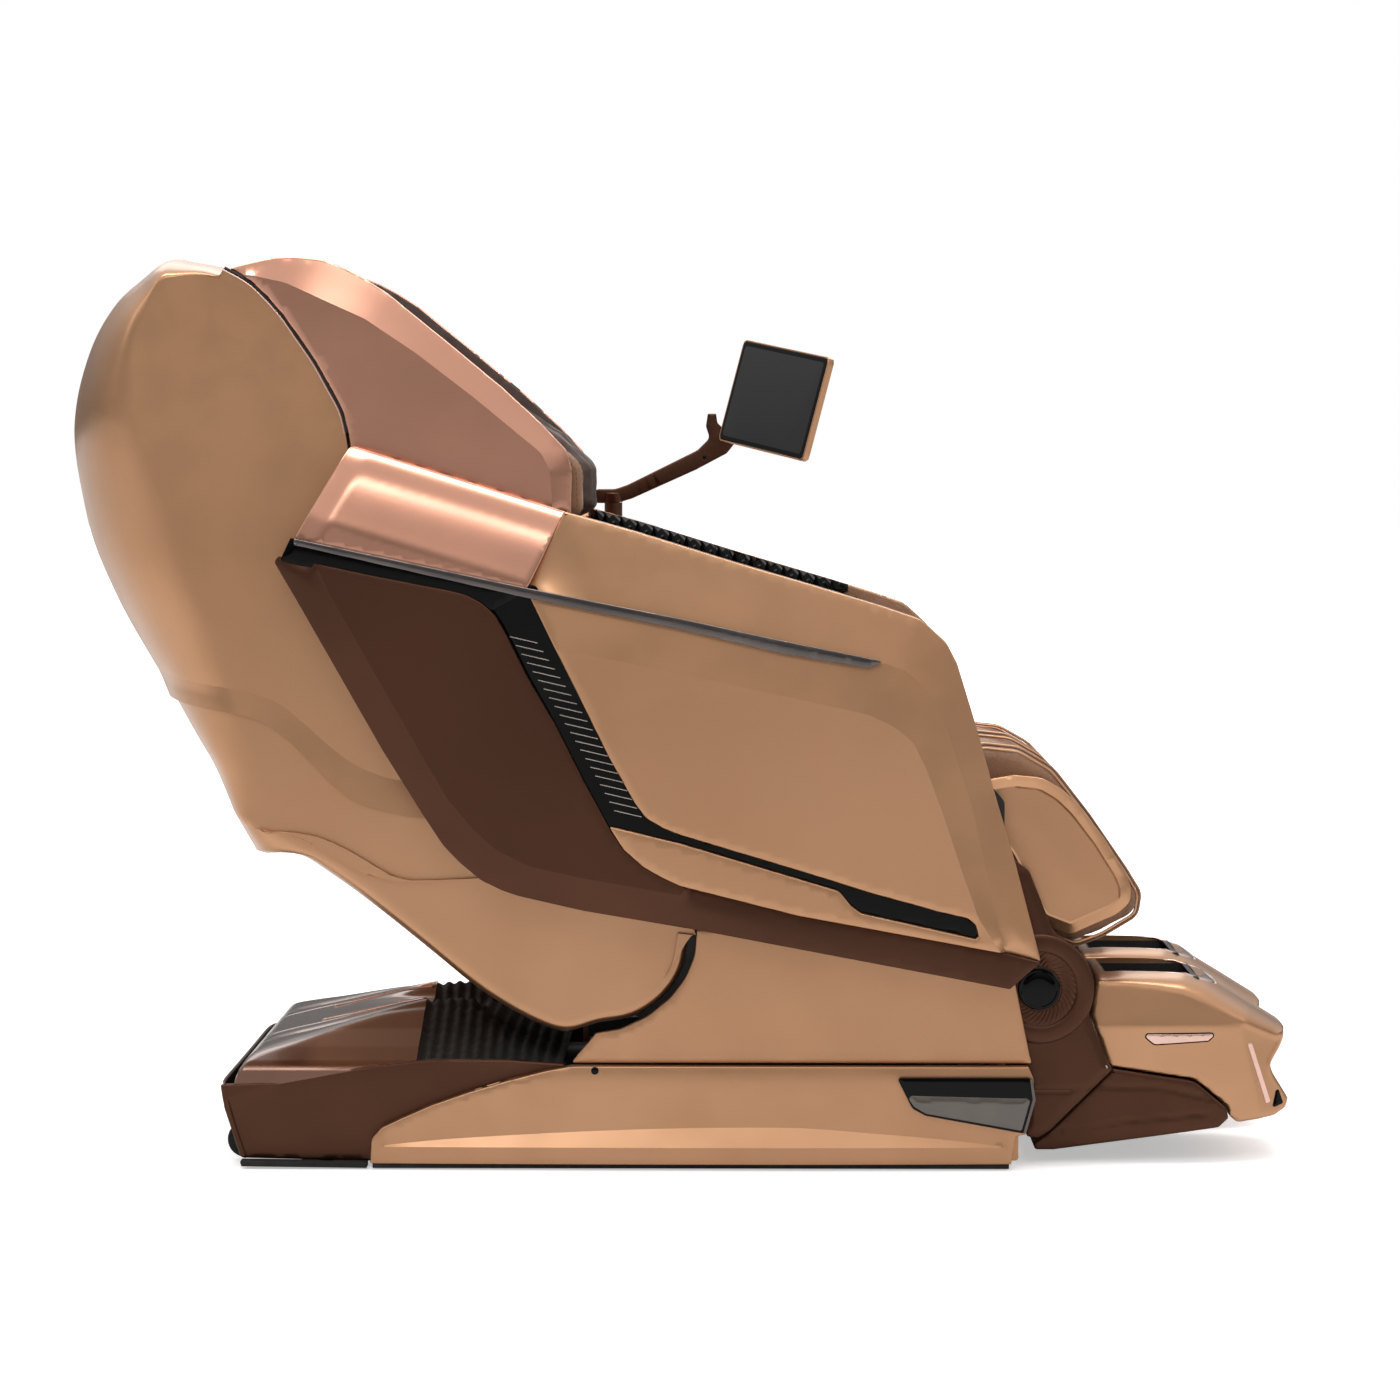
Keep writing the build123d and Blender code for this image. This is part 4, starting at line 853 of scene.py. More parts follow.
def shell_curves():
    """Rear centre line and side ring of the shell as matching rows of points, and its front boundary."""
    rear = np.vstack([smooth_line(SHELL_REAR, 150), smooth_line(SHELL_LOW, 110)])
    step = np.gradient(rear, axis=0)
    step /= np.linalg.norm(step, axis=1, keepdims=True)
    inward = np.stack([-step[:, 1], step[:, 0]], axis=1)
    share = np.linspace(0, 1, len(rear))
    reach = np.interp(share, [0, 0.04, 0.16, 0.30, 0.42, 0.54, 0.60, 1.0],
                      [14, 30, 112, 150, 128, 62, 34, 26])
    for _ in range(40):
        reach[1:-1] = (reach[:-2] + reach[1:-1] + reach[2:]) / 3
        inward[1:-1] = (inward[:-2] + inward[1:-1] + inward[2:]) / 3
    inward /= np.linalg.norm(inward, axis=1, keepdims=True)
    ring = rear + inward * reach[:, None]
    front = evenly(np.vstack([smooth_line(SHELL_SIDE[:9], 200), smooth_line(SHELL_SIDE[9:], 160)]), len(rear))
    return rear, ring, front


def at_row(line, rows):
    """Points of a line at fractional rows."""
    return np.array([np.interp(rows, np.arange(len(line)), line[:, k]) for k in (0, 1)]).T


def crossing(line, sash):
    """Row where a line first passes under the sash."""
    sash = np.asarray(sash, float)
    gap = np.interp(line[:, 0], sash[:, 0], sash[:, 1]) - line[:, 1]
    k = int(np.argmax(gap[10:] > 0)) + 10
    return k - 1 + gap[k - 1] / (gap[k - 1] - gap[k])


def patch(left, right, top, bottom):
    """Coons patch between four curves: left and right run down, top and bottom run forward."""
    v = np.linspace(0, 1, len(left))[:, None, None]
    u = np.linspace(0, 1, len(top))[None, :, None]
    corners = ((1 - u) * (1 - v) * left[0] + u * (1 - v) * right[0]
               + (1 - u) * v * left[-1] + u * v * right[-1])
    return (1 - u) * left[:, None] + u * right[:, None] + (1 - v) * top[None] + v * bottom[None] - corners


def shell_band(curves, starts, ends, count, top, bottom):
    """Right half of the shell between two cuts, given as rows on the rear, ring and front lines."""
    rear, ring, front = (at_row(line, np.linspace(s, e, count)) for line, s, e in zip(curves, starts, ends))
    rows = np.linspace(starts[0], ends[0], count)
    bend = np.interp(rows / (len(curves[0]) - 1), [0.0, 0.42, 0.56, 1.0], [2.2, 2.2, 4.0, 5.0])[:, None]
    angle = (np.linspace(0, 1, WRAP) * math.pi / 2)[None, :]
    across = np.sin(angle) ** (2 / bend)
    inwards = (1 - np.cos(angle) ** (2 / bend))[..., None]
    wrapped = rear[:, None] + (ring - rear)[:, None] * inwards
    side = patch(ring, front, evenly(top, FACE_COLUMNS), evenly(bottom, FACE_COLUMNS))
    face = np.concatenate([wrapped, side[:, 1:]], axis=1)
    width = np.concatenate([across, np.ones((count, FACE_COLUMNS - 1))], axis=1) * (SHELL_HALF - LIP)
    return np.stack([face[..., 0], width, face[..., 1]], axis=2)


def cut_line(sash, start, end):
    """The part of a sash line between two points."""
    inner = [p for p in smooth_line(sash, 160) if start[0] + 3 < p[0] < end[0] - 3]
    return np.array([start] + inner + [end])


def back_shell():
    """Champagne back shell: the upper moulding ends in a raised sash over the recessed lower one."""
    curves = shell_curves()
    first = [crossing(line, SASH_TOP) for line in curves]
    second = [crossing(line, SASH_LOW) for line in curves]
    last = [len(line) - 1 for line in curves]
    point = [[at_row(line, [r])[0] for line, r in zip(curves, rows)] for rows in ([0, 0, 0], first, second,
                                                                                  last)]
    cut_first = cut_line(SASH_TOP, point[1][1], point[1][2])
    cut_second = cut_line(SASH_LOW, point[2][1], point[2][2])
    upper = shell_band(curves, [0, 0, 0], first, 100, np.array([point[0][1], point[0][2]]), cut_first)
    sash = shell_band(curves, first, second, 7, cut_first, cut_second)
    lower = shell_band(curves, second, last, 110, cut_second, np.array([point[3][1], point[3][2]]))
    lift = np.concatenate([np.zeros(99), np.linspace(0, LIP, 7)])
    build_shell("back_shell_upper_skin", np.concatenate([upper[:-1], sash]), lift, "back_shell_upper", 99)
    # the lower moulding starts a little under the lip of the upper one
    tucked = lower.copy()
    tucked[0] = lower[0] + (lower[0] - lower[2]) * 0.6
    skin = build_shell("back_shell_lower_skin", tucked, np.full(len(tucked), -3.0), "back_shell_lower")
    corners = [(x, y, z) for x in (-150, 60) for y in (-328, 328) for z in (150, 400)]
    sides = [(0, 1, 3, 2), (4, 6, 7, 5), (0, 4, 5, 1), (2, 3, 7, 6), (0, 2, 6, 4), (1, 5, 7, 3)]
    cut_out(skin, make("seat_opening", np.array(corners) * MM, sides, GOLD, "backrest"))
    shade(skin.data, (), 40)


def build_shell(name, half, lift, node, crease_row=None, wall=3.0):
    """Double-skinned sheet over the right half's surface and its mirror image."""
    full = np.concatenate([half[:, ::-1] * np.array([1, -1, 1]), half[:, 1:]], axis=1)
    total, span = full.shape[:2]
    normal = np.cross(np.gradient(full, axis=1), np.gradient(full, axis=0))
    normal /= np.maximum(np.linalg.norm(normal, axis=2, keepdims=True), 1e-9)
    if normal[total // 2, span // 2, 0] > 0:
        normal = -normal
    outer = full + normal * lift[:, None, None]
    inner = outer - normal * wall
    vertices = np.concatenate([outer.reshape(-1, 3), inner.reshape(-1, 3)])
    count, quads, ring = total * span, lattice_faces(total, span), grid_rim(total, span)
    faces = quads + [tuple(v + count for v in quad[::-1]) for quad in quads]
    faces += [(a, b, b + count, a + count) for a, b in zip(ring, ring[1:] + ring[:1])]
    sharp = [] if crease_row is None else [(crease_row * span + j,
                                            crease_row * span + j + 1) for j in range(span - 1)]
    piece = make(name, vertices * MM, faces, GOLD, "backrest", sharp, 40)
    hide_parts(node)
    return piece


SPINE_LINE = [(-873, 948), (-858, 888), (-831, 821), (-801, 762), (-745, 671), (-706, 612), (-676, 570),
              (-651, 523),
              (-626, 472), (-606, 430)]


def spine_cover():
    """Narrow cover down the middle of the back, crowned, with rolled edges and a closed lower end."""
    line = smooth_line(SPINE_LINE, 90)
    step = np.gradient(line, axis=0)
    step /= np.linalg.norm(step, axis=1, keepdims=True)
    outwards = np.stack([step[:, 1], -step[:, 0]], axis=1)
    half = depth("back_spine_cover")
    section = [(-1.0, -9.0), (-1.0, -1.6), (-0.985, -0.5), (-0.95, 0.0), (-0.6, 0.5), (0, 0.8), (0.6, 0.5),
               (0.95, 0.0),
               (0.985, -0.5), (1.0, -1.6), (1.0, -9.0)]
    rings = []
    for i, (p, n) in enumerate(zip(line, outwards)):
        sink = -6.0 * max(0.0, 1 - i / 3) ** 2
        rings.append([(p[0] + n[0] * (out + sink), side * half, p[1] + n[1] * (out + sink)) for side,
                      out in section])
    piece = moulded("back_spine_strip", *loft(rings), GOLD, "backrest", "champagne", 35)
    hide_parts("back_spine_cover")


def shell_seams():
    """Black bead in the gap and thin bright bead on the edge where the shell meets the wings and the arms:
    painted shade in the gap and a painted highlight on the edge.
    """
    line = smooth_line(SHELL_SIDE[:9], 90)
    level = SHELL_HALF - 1.5
    for side, word in SIDES:
        # black bead: painted shade in the gap
        piping("shell_gap_painted_shade_" + word, [(x + 1.5, side * (level - 5.0), z + 0.6) for x, z in line], 3.0, RUBBER,
               "backrest",
               closed=False)
        # thin bright bead: painted highlight on the rounded edge
        piping("shell_edge_painted_highlight_" + word, [(x - 1.4, side * level, z - 0.6) for x, z in line], 0.9, PINK,
               "backrest",
               closed=False)


def base_rubber():
    """Black foot line under the base covers and the rear cover."""
    for name, points in (("base_foot_line", [(-424, 2), (476, 2), (476, 10), (-424, 10)]),
                         ("rear_foot_line", [(-610, 4), (-432, 2), (-432, 10), (-612, 12)])):
        loop = rounded(points, 1.5, 20)
        relief(name, loop, lambda p: np.full(len(p), depth("base_covers") - 12), ARM_BACK, RUBBER, "base",
               0, edge=1.5,
               grid=0)


# ---- rear base -------------------------------------------------------------------------------------
REAR_FACE = [(-641, 118), (-636, 84), (-613, 13), (-437, 9), (-400, 9), (-152, 12), (-152, 148), (-235, 154),
             (-342, 154),
             (-450, 141), (-558, 121)]
REAR_CREASE = [(-641, 97), (-558, 122), (-450, 142), (-342, 155), (-150, 150), (-150, 300), (-700, 300),
               (-700, 97)]
HOOD_SIDE = [(-622, 121), (-613, 142), (-598, 157), (-560, 168), (-520, 177), (-443, 195), (-395, 206),
             (-340, 217),
             (-300, 219), (-284, 206), (-256, 186), (-214, 168), (-156, 152)]
HOOD_CROSS = [(0, 194), (58, 195), (70, 199), (112, 219), (122, 218), (230, 182), (300, 164), (350, 149),
              (366, 140)]
HOOD_Y = 365.0
HOOD_SPLIT = 112.0
HOOD_END = -364.0
HOOD_FOOT = 112.0


def hood_height(x, y):
    """Height of the hood: the lower of its side profile and its cross profile, with a soft meeting."""
    side, cross = smooth_line(HOOD_SIDE, 200), np.array(HOOD_CROSS, float)
    along = np.interp(x, side[:, 0], side[:, 1])
    across = np.interp(np.abs(y), cross[:, 0], cross[:, 1])
    gap = np.abs(along - across)
    soft = 0.25 * np.clip(8 - gap, 0, 8) ** 2 / 8
    flute = 4.0 * np.exp(-((np.abs(y) - 186 + (x + 620) * 0.14) / 12.0) ** 2) * np.clip((x + 600) / 60, 0, 1)
    return np.minimum(along, across) - soft - flute * np.clip((np.minimum(along, across) - 140) / 20, 0, 1)


def rear_hood():
    """Dark brown hood over the rear of the base: two outer blades beside a lower middle moulding."""
    parts = [(-HOOD_Y, -HOOD_SPLIT - 0.6), (-HOOD_SPLIT + 0.6, HOOD_SPLIT - 0.6), (HOOD_SPLIT + 0.6, HOOD_Y)]
    for (start, end), word in zip(parts, ("right", "middle", "left")):
        xs = np.concatenate([[-622.0, -621.6, -621.0, -620], np.linspace(-618, HOOD_END - 2, 80), [HOOD_END]])
        ys = np.linspace(start, end, 48)
        grid_x, grid_y = np.meshgrid(xs, ys, indexing="ij")
        top = hood_height(grid_x.ravel(), grid_y.ravel()).reshape(grid_x.shape)
        # rolled down along every edge of the moulding
        into = np.minimum(np.abs(grid_y - start), np.abs(grid_y - end))
        top = top - 2.5 * np.clip(1 - into / 4.0, 0, 1) ** 2
        under = np.maximum(top - 4.0, HOOD_FOOT)
        under[:, [0, -1]], under[0], under[-1] = 119.0, HOOD_FOOT, 130.0
        piece = double_skin("rear_hood_" + word, np.stack([grid_x, grid_y, top], axis=2),
                            np.stack([grid_x, grid_y, under], axis=2), COPPER_DARK, "base", "dark_brown", 30)
        if word == "middle":
            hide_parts("rear_hood")
    for side, word in SIDES:
        vertices = []
        for k, x in enumerate(np.linspace(-520, -366, 24)):
            for across, lift in ((-8, -0.4), (-6, 1.4), (6, 1.4), (8, -0.4)):
                y = 90 + across * (0.4 + 0.6 * min(1.0, k / 6)) + (x + 520) * 0.03
                z = float(hood_height(np.array([x]), np.array([y]))[0])
                vertices.append((x, side * y, z + lift))
        trim = make("hood_trim_" + word, np.array(vertices) * MM, lattice_faces(24, 4), PINK, "base",
                    angle=40)
        solid = trim.modifiers.new("thickness", "SOLIDIFY")
        solid.thickness, solid.offset = 0.002, 0.0


def painted_shadow_sheet():
    """Black folded sheet between hood and seat: painted shadow under the back shell."""
    # painted shadow: a dark sheet set where the hollow under the shell lies in shade
    grid_x, grid_y = np.meshgrid(np.linspace(HOOD_END - 3, -156, 110),
                                 np.linspace(6 - HOOD_Y, HOOD_Y - 6, 60),
                                 indexing="ij")
    top = hood_height(grid_x.ravel(), grid_y.ravel()).reshape(grid_x.shape)
    top = np.maximum(top - 5.0 + 2.0 * np.cos((grid_x - HOOD_END) * 2 * math.pi / 17), 126.0)
    upper = np.stack([grid_x, grid_y, top], axis=2).reshape(-1, 3)
    faces = [(a, d, c, b) for a, b, c, d in lattice_faces(*grid_x.shape)]
    cover = make("painted_shadow_sheet", upper * MM, faces, RUBBER, "base", angle=60)
    solid = cover.modifiers.new("thickness", "SOLIDIFY")
    solid.thickness, solid.offset = 0.002, -1.0
    apply_modifiers(cover)
    shade(cover.data, (), 60)
    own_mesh(cover)


def rear_base():
    """Dark brown rear cover: crowned side faces with a crease, and a bowed rear wall between them."""
    loop = rounded(REAR_FACE, [3, 30, 6, 20, 20, 2, 2, 60, 60, 60, 60])
    crease = rounded(REAR_CREASE, [1, 60, 60, 60, 1, 1, 1, 1])
    face = depth("rear_cover")
    side = relief("rear_cover_sides", loop, nested([(loop, face - 7), (crease, face - 2)], 0), face - 12,
                  BROWN, "base",
                  0, creases=[crease], edge=3.0)
    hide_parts("rear_cover")
    profile = smooth_line([(-640, 119), (-637, 96), (-628, 62), (-612, 14)], 26)
    ys = np.linspace(-(face - 4), face - 4, 61)
    vertices, faces = [], []
    for x, z in profile:
        for y in ys:
            bow = 1.0 * (1 - (y / face) ** 2) + 9 * (abs(y) / face) ** 14
            vertices.append((x + bow, y, z))
    columns = len(ys)
    for i in range(len(profile) - 1):
        for j in range(columns - 1):
            y_mid, z_mid = (ys[j] + ys[j + 1]) / 2, (profile[i][1] + profile[i + 1][1]) / 2
            if abs(abs(y_mid) - 294) < 28 and z_mid < 62 or -226 < y_mid < -134 and 47 < z_mid < 85:
                continue
            a = i * columns + j
            faces.append((a, a + 1, a + columns + 1, a + columns))
    wall = make("rear_cover_wall", np.array(vertices) * MM, faces, BROWN, "base", angle=40)
    solid = wall.modifiers.new("thickness", "SOLIDIFY")
    solid.thickness, solid.offset = 0.003, 1.0


WING_FACE = [(-628, 1273), (-604, 1279), (-565, 1288), (-532, 1289), (-494, 1285), (-463, 1273), (-436, 1259),
             (-403, 1238), (-363, 1205), (-323, 1173), (-241, 1105), (-187, 1055), (-148, 1014), (-142, 986),
             (-144, 925), (-210, 905), (-400, 950), (-450, 985), (-458, 1040), (-466, 1072), (-483, 1104),
             (-503, 1140),
             (-527, 1175), (-548, 1205), (-570, 1231), (-595, 1255)]
WING_CREASE = [(-600, 1264), (-545, 1252), (-493, 1228), (-435, 1202), (-362, 1153), (-281, 1091),
               (-213, 1035),
               (-186, 1013), (-173, 988), (-170, 941), (-170, 860), (-720, 860), (-720, 1240)]


def wings():
    """Copper side wings of the head section with a bevel along their upper and front edge."""
    loop = rounded(WING_FACE, [2, 60, 60, 60, 60, 60, 60, 60, 90, 90, 120, 60, 30, 20, 2, 20, 30,
                               8] + [40] * 8)
    crease = rounded(WING_CREASE, [40, 60, 60, 90, 120, 120, 60, 30, 16, 60, 1, 1, 1])
    top = depth("wings")
    height = nested([(loop, top - 17), (crease, top - 2)], -1.5, 150)
    panel = relief("head_wings", loop, height, depth("wings") - 23, COPPER, "backrest", 0,
                   creases=[crease], edge=3.0, grid=9)
    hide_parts("wings")
    # the inner face of each wing in dark leather: painted shade
    inner = relief("wing_lining", grown(loop, -1.5), lambda p: np.full(len(p), -316.5), -322.5, LEATHER_SHADED,
                   "backrest",
                   0, edge=2.0, grid=20)


# ---- legs ------------------------------------------------------------------------------------------
ANKLE = (520, 253)
RIB_COUNT = 36
LEG_FACE = [(428, 548), (396, 530), (396, 490), (446, 400), (462, 330), (462, 200), (501, 120), (503, 42),
            (519, 40),
            (536, 50), (625, 138), (620, 146), (591, 216), (598, 260), (578, 306), (540, 335), (506, 420),
            (488, 434),
            (456, 490), (446, 530)]
LEG_RADIUS = [20, 24, 30, 60, 40, 20, 20, 4, 6, 6, 3, 3, 10, 20, 30, 20, 20, 14, 40, 20]
CALF_RIM = [(455, 550), (486, 555), (526, 551), (555, 534), (579, 511), (614, 465), (644, 417), (652, 396),
            (651, 374),
            (634, 357), (566, 327), (520, 345), (470, 440), (420, 486), (420, 540)]
CALF_RADIUS = [20, 20, 40, 60, 90, 90, 60, 20, 18, 40, 18, 30, 40, 20, 20]


def leg_arms(side, word):
    """Dark brown leg arm with its seam lines and the round ankle disc."""
    loop = rounded(LEG_FACE, LEG_RADIUS)
    face = depth("leg_arm_right") - 4
    height = nested([(loop, face - 5), (grown(loop, -9), face - 1)], 0.5, 60)
    seam = np.array([(462, 109), (560, 109), (640, 112)], float)

    def grooved(p):
        return height(p) - 1.6 * np.exp(-(distance(p, seam, False) / 1.6) ** 2)

    arm = relief("leg_arm_cover_" + word, loop, grooved, 324, BROWN, "leg_" + word, side,
                 edge=3.0,
                 grid=6, lines=[spaced(seam[:2] + np.array([4, 1.6]), 6, False),
                                spaced(seam[:2] + np.array([4, 0]), 6, False),
                                spaced(seam[:2] + np.array([4, -1.6]), 6, False)], crease_shading=False)
    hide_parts("leg_arm_" + word)
    ankle_disc(side, word, face)
    disc_piece("leg_screw_" + word, (615, 141), [(0, 1.2), (2.4, 1.1), (3.2, 0.2), (3.4, -2)], face - 3,
               BRIGHT,
               "leg_" + word, 24, side)


def ankle_disc(side, word, face):
    """Round disc: a smooth outer band, a ring of swirled ribs and a plain gloss cap."""
    profile = [(30.0, -2.0), (31.5, -1.0)] + [(r, 0.0) for r in np.linspace(32.5, 52.0, 14)]
    profile += [(53.0, 0.6), (54.0, 2.2), (56, 2.9), (62, 3.3), (70, 3.2), (75, 2.6), (77.4, 1.2),
                (78.0, -0.6), (78.0, -6)]
    count = RIB_COUNT * 10
    vertices, faces = [], []
    for r, proud in profile:
        for k in range(count):
            a = 2 * math.pi * k / count
            ribbed = 32.0 < r < 52.5
            swell = math.sin(math.pi * min(max((r - 32) / 20.5, 0), 1)) ** 0.35 if ribbed else 0
            wave = 0.5 + 0.5 * math.cos(RIB_COUNT * (a + (r - 42) * 0.021))
            out = proud + (2.4 * wave ** 1.3 * swell if ribbed else 0)
            vertices.append((ANKLE[0] + r * math.cos(a), -(face + out), ANKLE[1] + r * math.sin(a)))
    for i in range(len(profile) - 1):
        for k in range(count):
            a, b = i * count + k, i * count + (k + 1) % count
            faces.append((a, b, b + count, a + count))
    vertices = np.array(vertices) * MM
    if side == LEFT:
        vertices, faces = vertices * np.array([1, -1, 1]), [f[::-1] for f in faces]
    ring = make("ankle_disc_" + word, vertices, faces, BROWN, "leg_" + word, angle=50)
    weld(ring)
    shade(ring.data, (), 50)
    disc_piece("ankle_cap_" + word, ANKLE, [(0, 2.6), (14, 2.4), (22, 1.9), (24, 1.2), (24.8, 1.2),
                                            (26, 2.0), (28.6, 1.8),
               (30.2, 0.6), (30.6, -3)], face, BLACK, "leg_" + word, 72, side)


def calf_shells(side, word):
    """Champagne side walls of the calf unit: a bright bevelled rim round a flat field."""
    loop = rounded(CALF_RIM, CALF_RADIUS, 6)
    rim, field = grown(loop, -15), grown(loop, -18)
    outer = relief("calf_wall_outer_" + word, loop, nested([(loop, 311), (rim, 320.5), (field, 318.5)], 1.0,
                                                           60), 298, GOLD,
                   "leg_" + word, side, creases=[rim, field], edge=2.0, grid=8)
    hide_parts("calf_shell_" + word)
    relief("calf_wall_inner_" + word, loop, nested([(loop, 18), (rim, 21.4)], 0), 14, GOLD, "leg_" + word,
                   side, creases=[rim], edge=1.0, grid=12)


FOOT_FACE = [(604, 269), (640, 272), (697, 272), (734, 271), (766, 259), (800, 237), (882, 187), (880, 176),
             (855, 137),
             (860, 124), (884, 86), (880, 73), (862, 63), (807, 56), (795, 66), (792, 80), (744, 120),
             (626, 138),
             (618, 146), (596, 212)]
FOOT_RADIUS = [10, 60, 60, 60, 60, 60, 5, 8, 10, 8, 5, 8, 10, 4, 4, 8, 30, 3, 4, 10]
SHOULDER = [(596, 254), (648, 252), (688, 245), (729, 232), (770, 214), (811, 194), (846, 178), (872, 168)]
WAIST = [(600, 196), (798, 199), (811, 194)]
NOSE_FOLD = [(811, 194), (815, 171), (837, 77), (842, 50)]
FOOT_MID, FOOT_HALF = 166.0, 152.0
WELL_RADIUS = [2, 14, 24, 30, 14, 24, 40, 30, 2]
WELL_FACE = [(616, 320), (620, 172), (640, 150), (744, 136), (774, 124), (800, 150), (794, 212), (752, 258),
             (746, 320)]


def foot_shell(side, word):
    """Champagne foot housing with creased sides, a crowned top and a well for the foot."""
    loop = rounded(FOOT_FACE, FOOT_RADIUS, 5)
    shoulder = np.array(SHOULDER, float)
    waist_z = 197.0
    top_gap = distance(loop, shoulder, False)
    on_top = loop[:, 1] > np.interp(loop[:, 0], shoulder[:, 0], shoulder[:, 1]) + 1
    edge = np.where(on_top, np.clip(top_gap - 1.5, 5, 60), 5.0)
    for _ in range(12):
        edge = (np.roll(edge, 1) + edge + np.roll(edge, -1)) / 3
    roll = np.interp(edge, [6, 16], [8, FOOT_HALF])
    nose = np.array(NOSE_FOLD, float)

    def height(p):
        wide = FOOT_HALF - 34 * np.clip((p[:, 0] - 690) / 195, 0, 1) ** 2.2
        lean = np.where(p[:, 1] > waist_z, (p[:, 1] - waist_z) * 0.16, (waist_z - p[:, 1]) * 0.07)
        fold = np.interp(-p[:, 1], -nose[:, 1], nose[:, 0])
        ahead = np.clip(p[:, 0] - fold, 0, 80) * 0.42
        return wide - lean - ahead

    if side == RIGHT:
        mirrored(bpy.data.objects["foot_housing_left"], "foot_housing_right", "foot_right",
                 node="foot_shell_right",
                 slot="champagne")
        return height
    fold_lines = [spaced(np.array(WAIST, float), 6, False)[1:], spaced(nose, 6, False)[1:-4]]
    span = np.maximum(height(loop), 10)
    rolled = np.minimum(roll, span)
    body_name = "foot_" + word
    shell = half_body("foot_housing_" + word, loop, height, edge, rolled, fold_lines, body_name, side)
    remesh = shell.modifiers.new("even", "REMESH")
    remesh.mode, remesh.voxel_size = "VOXEL", 3.2 * MM
    smooth = shell.modifiers.new("smooth", "SMOOTH")
    smooth.factor, smooth.iterations = 0.5, 2
    apply_modifiers(shell)
    cut_out(shell, well_block(side))
    shade(shell.data, (), 26)
    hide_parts("foot_shell_" + word)
    return height


def half_body(name, loop, height, edge, roll, fold_lines, body, side):
    """A body that is symmetric about the middle plane of one foot."""
    def level(p):
        return FOOT_MID + height(p)
    return relief(name, loop, level, FOOT_MID, GOLD, body, side, lines=fold_lines, edge=edge,
                  roll=roll,
                  power=2.6, steps=14, grid=7, about=FOOT_MID)


def apply_modifiers(piece):
    """Replace a piece's mesh with its modified one."""
    graph = bpy.context.evaluated_depsgraph_get()
    graph.update()
    mesh = bpy.data.meshes.new_from_object(piece.evaluated_get(graph))
    piece.modifiers.clear()
    old = piece.data
    piece.data = mesh
    bpy.data.meshes.remove(old)


def volume(mesh):
    """Signed volume of a mesh."""
    made = bmesh.new()
    made.from_mesh(mesh)
    size = made.calc_volume(signed=True)
    made.free()
    return size


def cut_out(piece, cutter):
    """Take the cutter's volume out of a piece."""
    for item in (piece, cutter):
        if volume(item.data) < 0:
            item.data.flip_normals()
    start = piece.data.copy()
    target, top = volume(start), max(v.co.z for v in start.vertices)
    for solver in ("EXACT", "FAST"):
        cut = piece.modifiers.new("cut", "BOOLEAN")
        cut.operation, cut.object, cut.solver = "DIFFERENCE", cutter, solver
        apply_modifiers(piece)
        size = volume(piece.data)
        if 0.05 * target < size < 0.999 * target and max(v.co.z for v in piece.data.vertices) < top + 1e-4:
            break
        piece.data = start.copy()
    bpy.data.objects.remove(cutter)


def well_block(side):
    """Closed block in the shape of the foot well, used only to cut."""
    loop = rounded(WELL_FACE, WELL_RADIUS, 8)
    return relief("well_block_" + ("right" if side == RIGHT else "left"), loop,
                  lambda p: np.full(len(p), 256.0), 76, WELL,
                   "foot_right" if side == RIGHT else "foot_left", side, edge=12.0, steps=5, grid=30)


def foot_lining(loop):
    """Padded lining of the left foot well."""
    clipped = np.array([(x, min(z, 262.0)) for x, z in grown(loop, 1.5)])
    inner_loop = grown(loop, -7)
    lining = relief("foot_lining_left", dedupe(clipped), lambda p: np.full(len(p), 262.0), 70, WELL,
                    "foot_left",
                    LEFT, edge=3.0, grid=30)
    cutter = relief("lining_cut", dedupe(np.array([(x, z if z < 300 else 330) for x, z in inner_loop])),
                    lambda p: np.full(len(p), 249.0), 83, WELL, "foot_left", LEFT, edge=10.0, steps=5,
                    grid=30)
    cut_out(lining, cutter)
    shade(lining.data, (), 40)
    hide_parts("foot_liner_left")


def foot_details(side, word, height):
    """Well lining, toe trims, side lamp, nose strip and plain nose inset."""
    body = "foot_" + word
    loop = rounded(WELL_FACE, WELL_RADIUS, 8)
    if side == LEFT:
        foot_lining(loop)
    else:
        mirrored(bpy.data.objects["foot_lining_left"], "foot_lining_right", body, node="foot_liner_right",
                 fill=0.5,
                 slot="lining")
    lamp = rounded([(669, 185), (774, 186), (763, 176), (686, 171)], [3, 3, 3, 10], 4)
    relief("foot_lamp_" + word, lamp, lambda p: FOOT_MID + height(p) + 2.0, 290, PINK, body,
           side, edge=0.8,
           grid=5)
    frame_loop = grown(lamp, 1.8)
    relief("foot_lamp_frame_" + word, frame_loop, lambda p: FOOT_MID + height(p) + 1.0, 290, BLACK, body,
           side, edge=0.6, grid=5)
    strip = rounded([(820, 170), (827, 171), (856, 84), (849, 82)], [2, 2, 2, 2], 4)
    relief("nose_strip_" + word, strip, lambda p: FOOT_MID + height(p) + 1.0, FOOT_MID + 90, PINK, body,
           side, edge=0.8, grid=0)
    badge = rounded([(858, 74), (876, 80), (866, 108)], [3, 3, 3], 3)
    relief("nose_inset_" + word, badge, lambda p: FOOT_MID + height(p) + 0.8, FOOT_MID + 80, BLACK, body,
           side, edge=0.8, grid=0)
    toe_trim(side, word, body)


def dedupe(loop):
    """Loop without repeated points."""
    keep = [loop[0]]
    for p in loop[1:]:
        if np.linalg.norm(p - keep[-1]) > 0.8:
            keep.append(p)
    return np.array(keep)


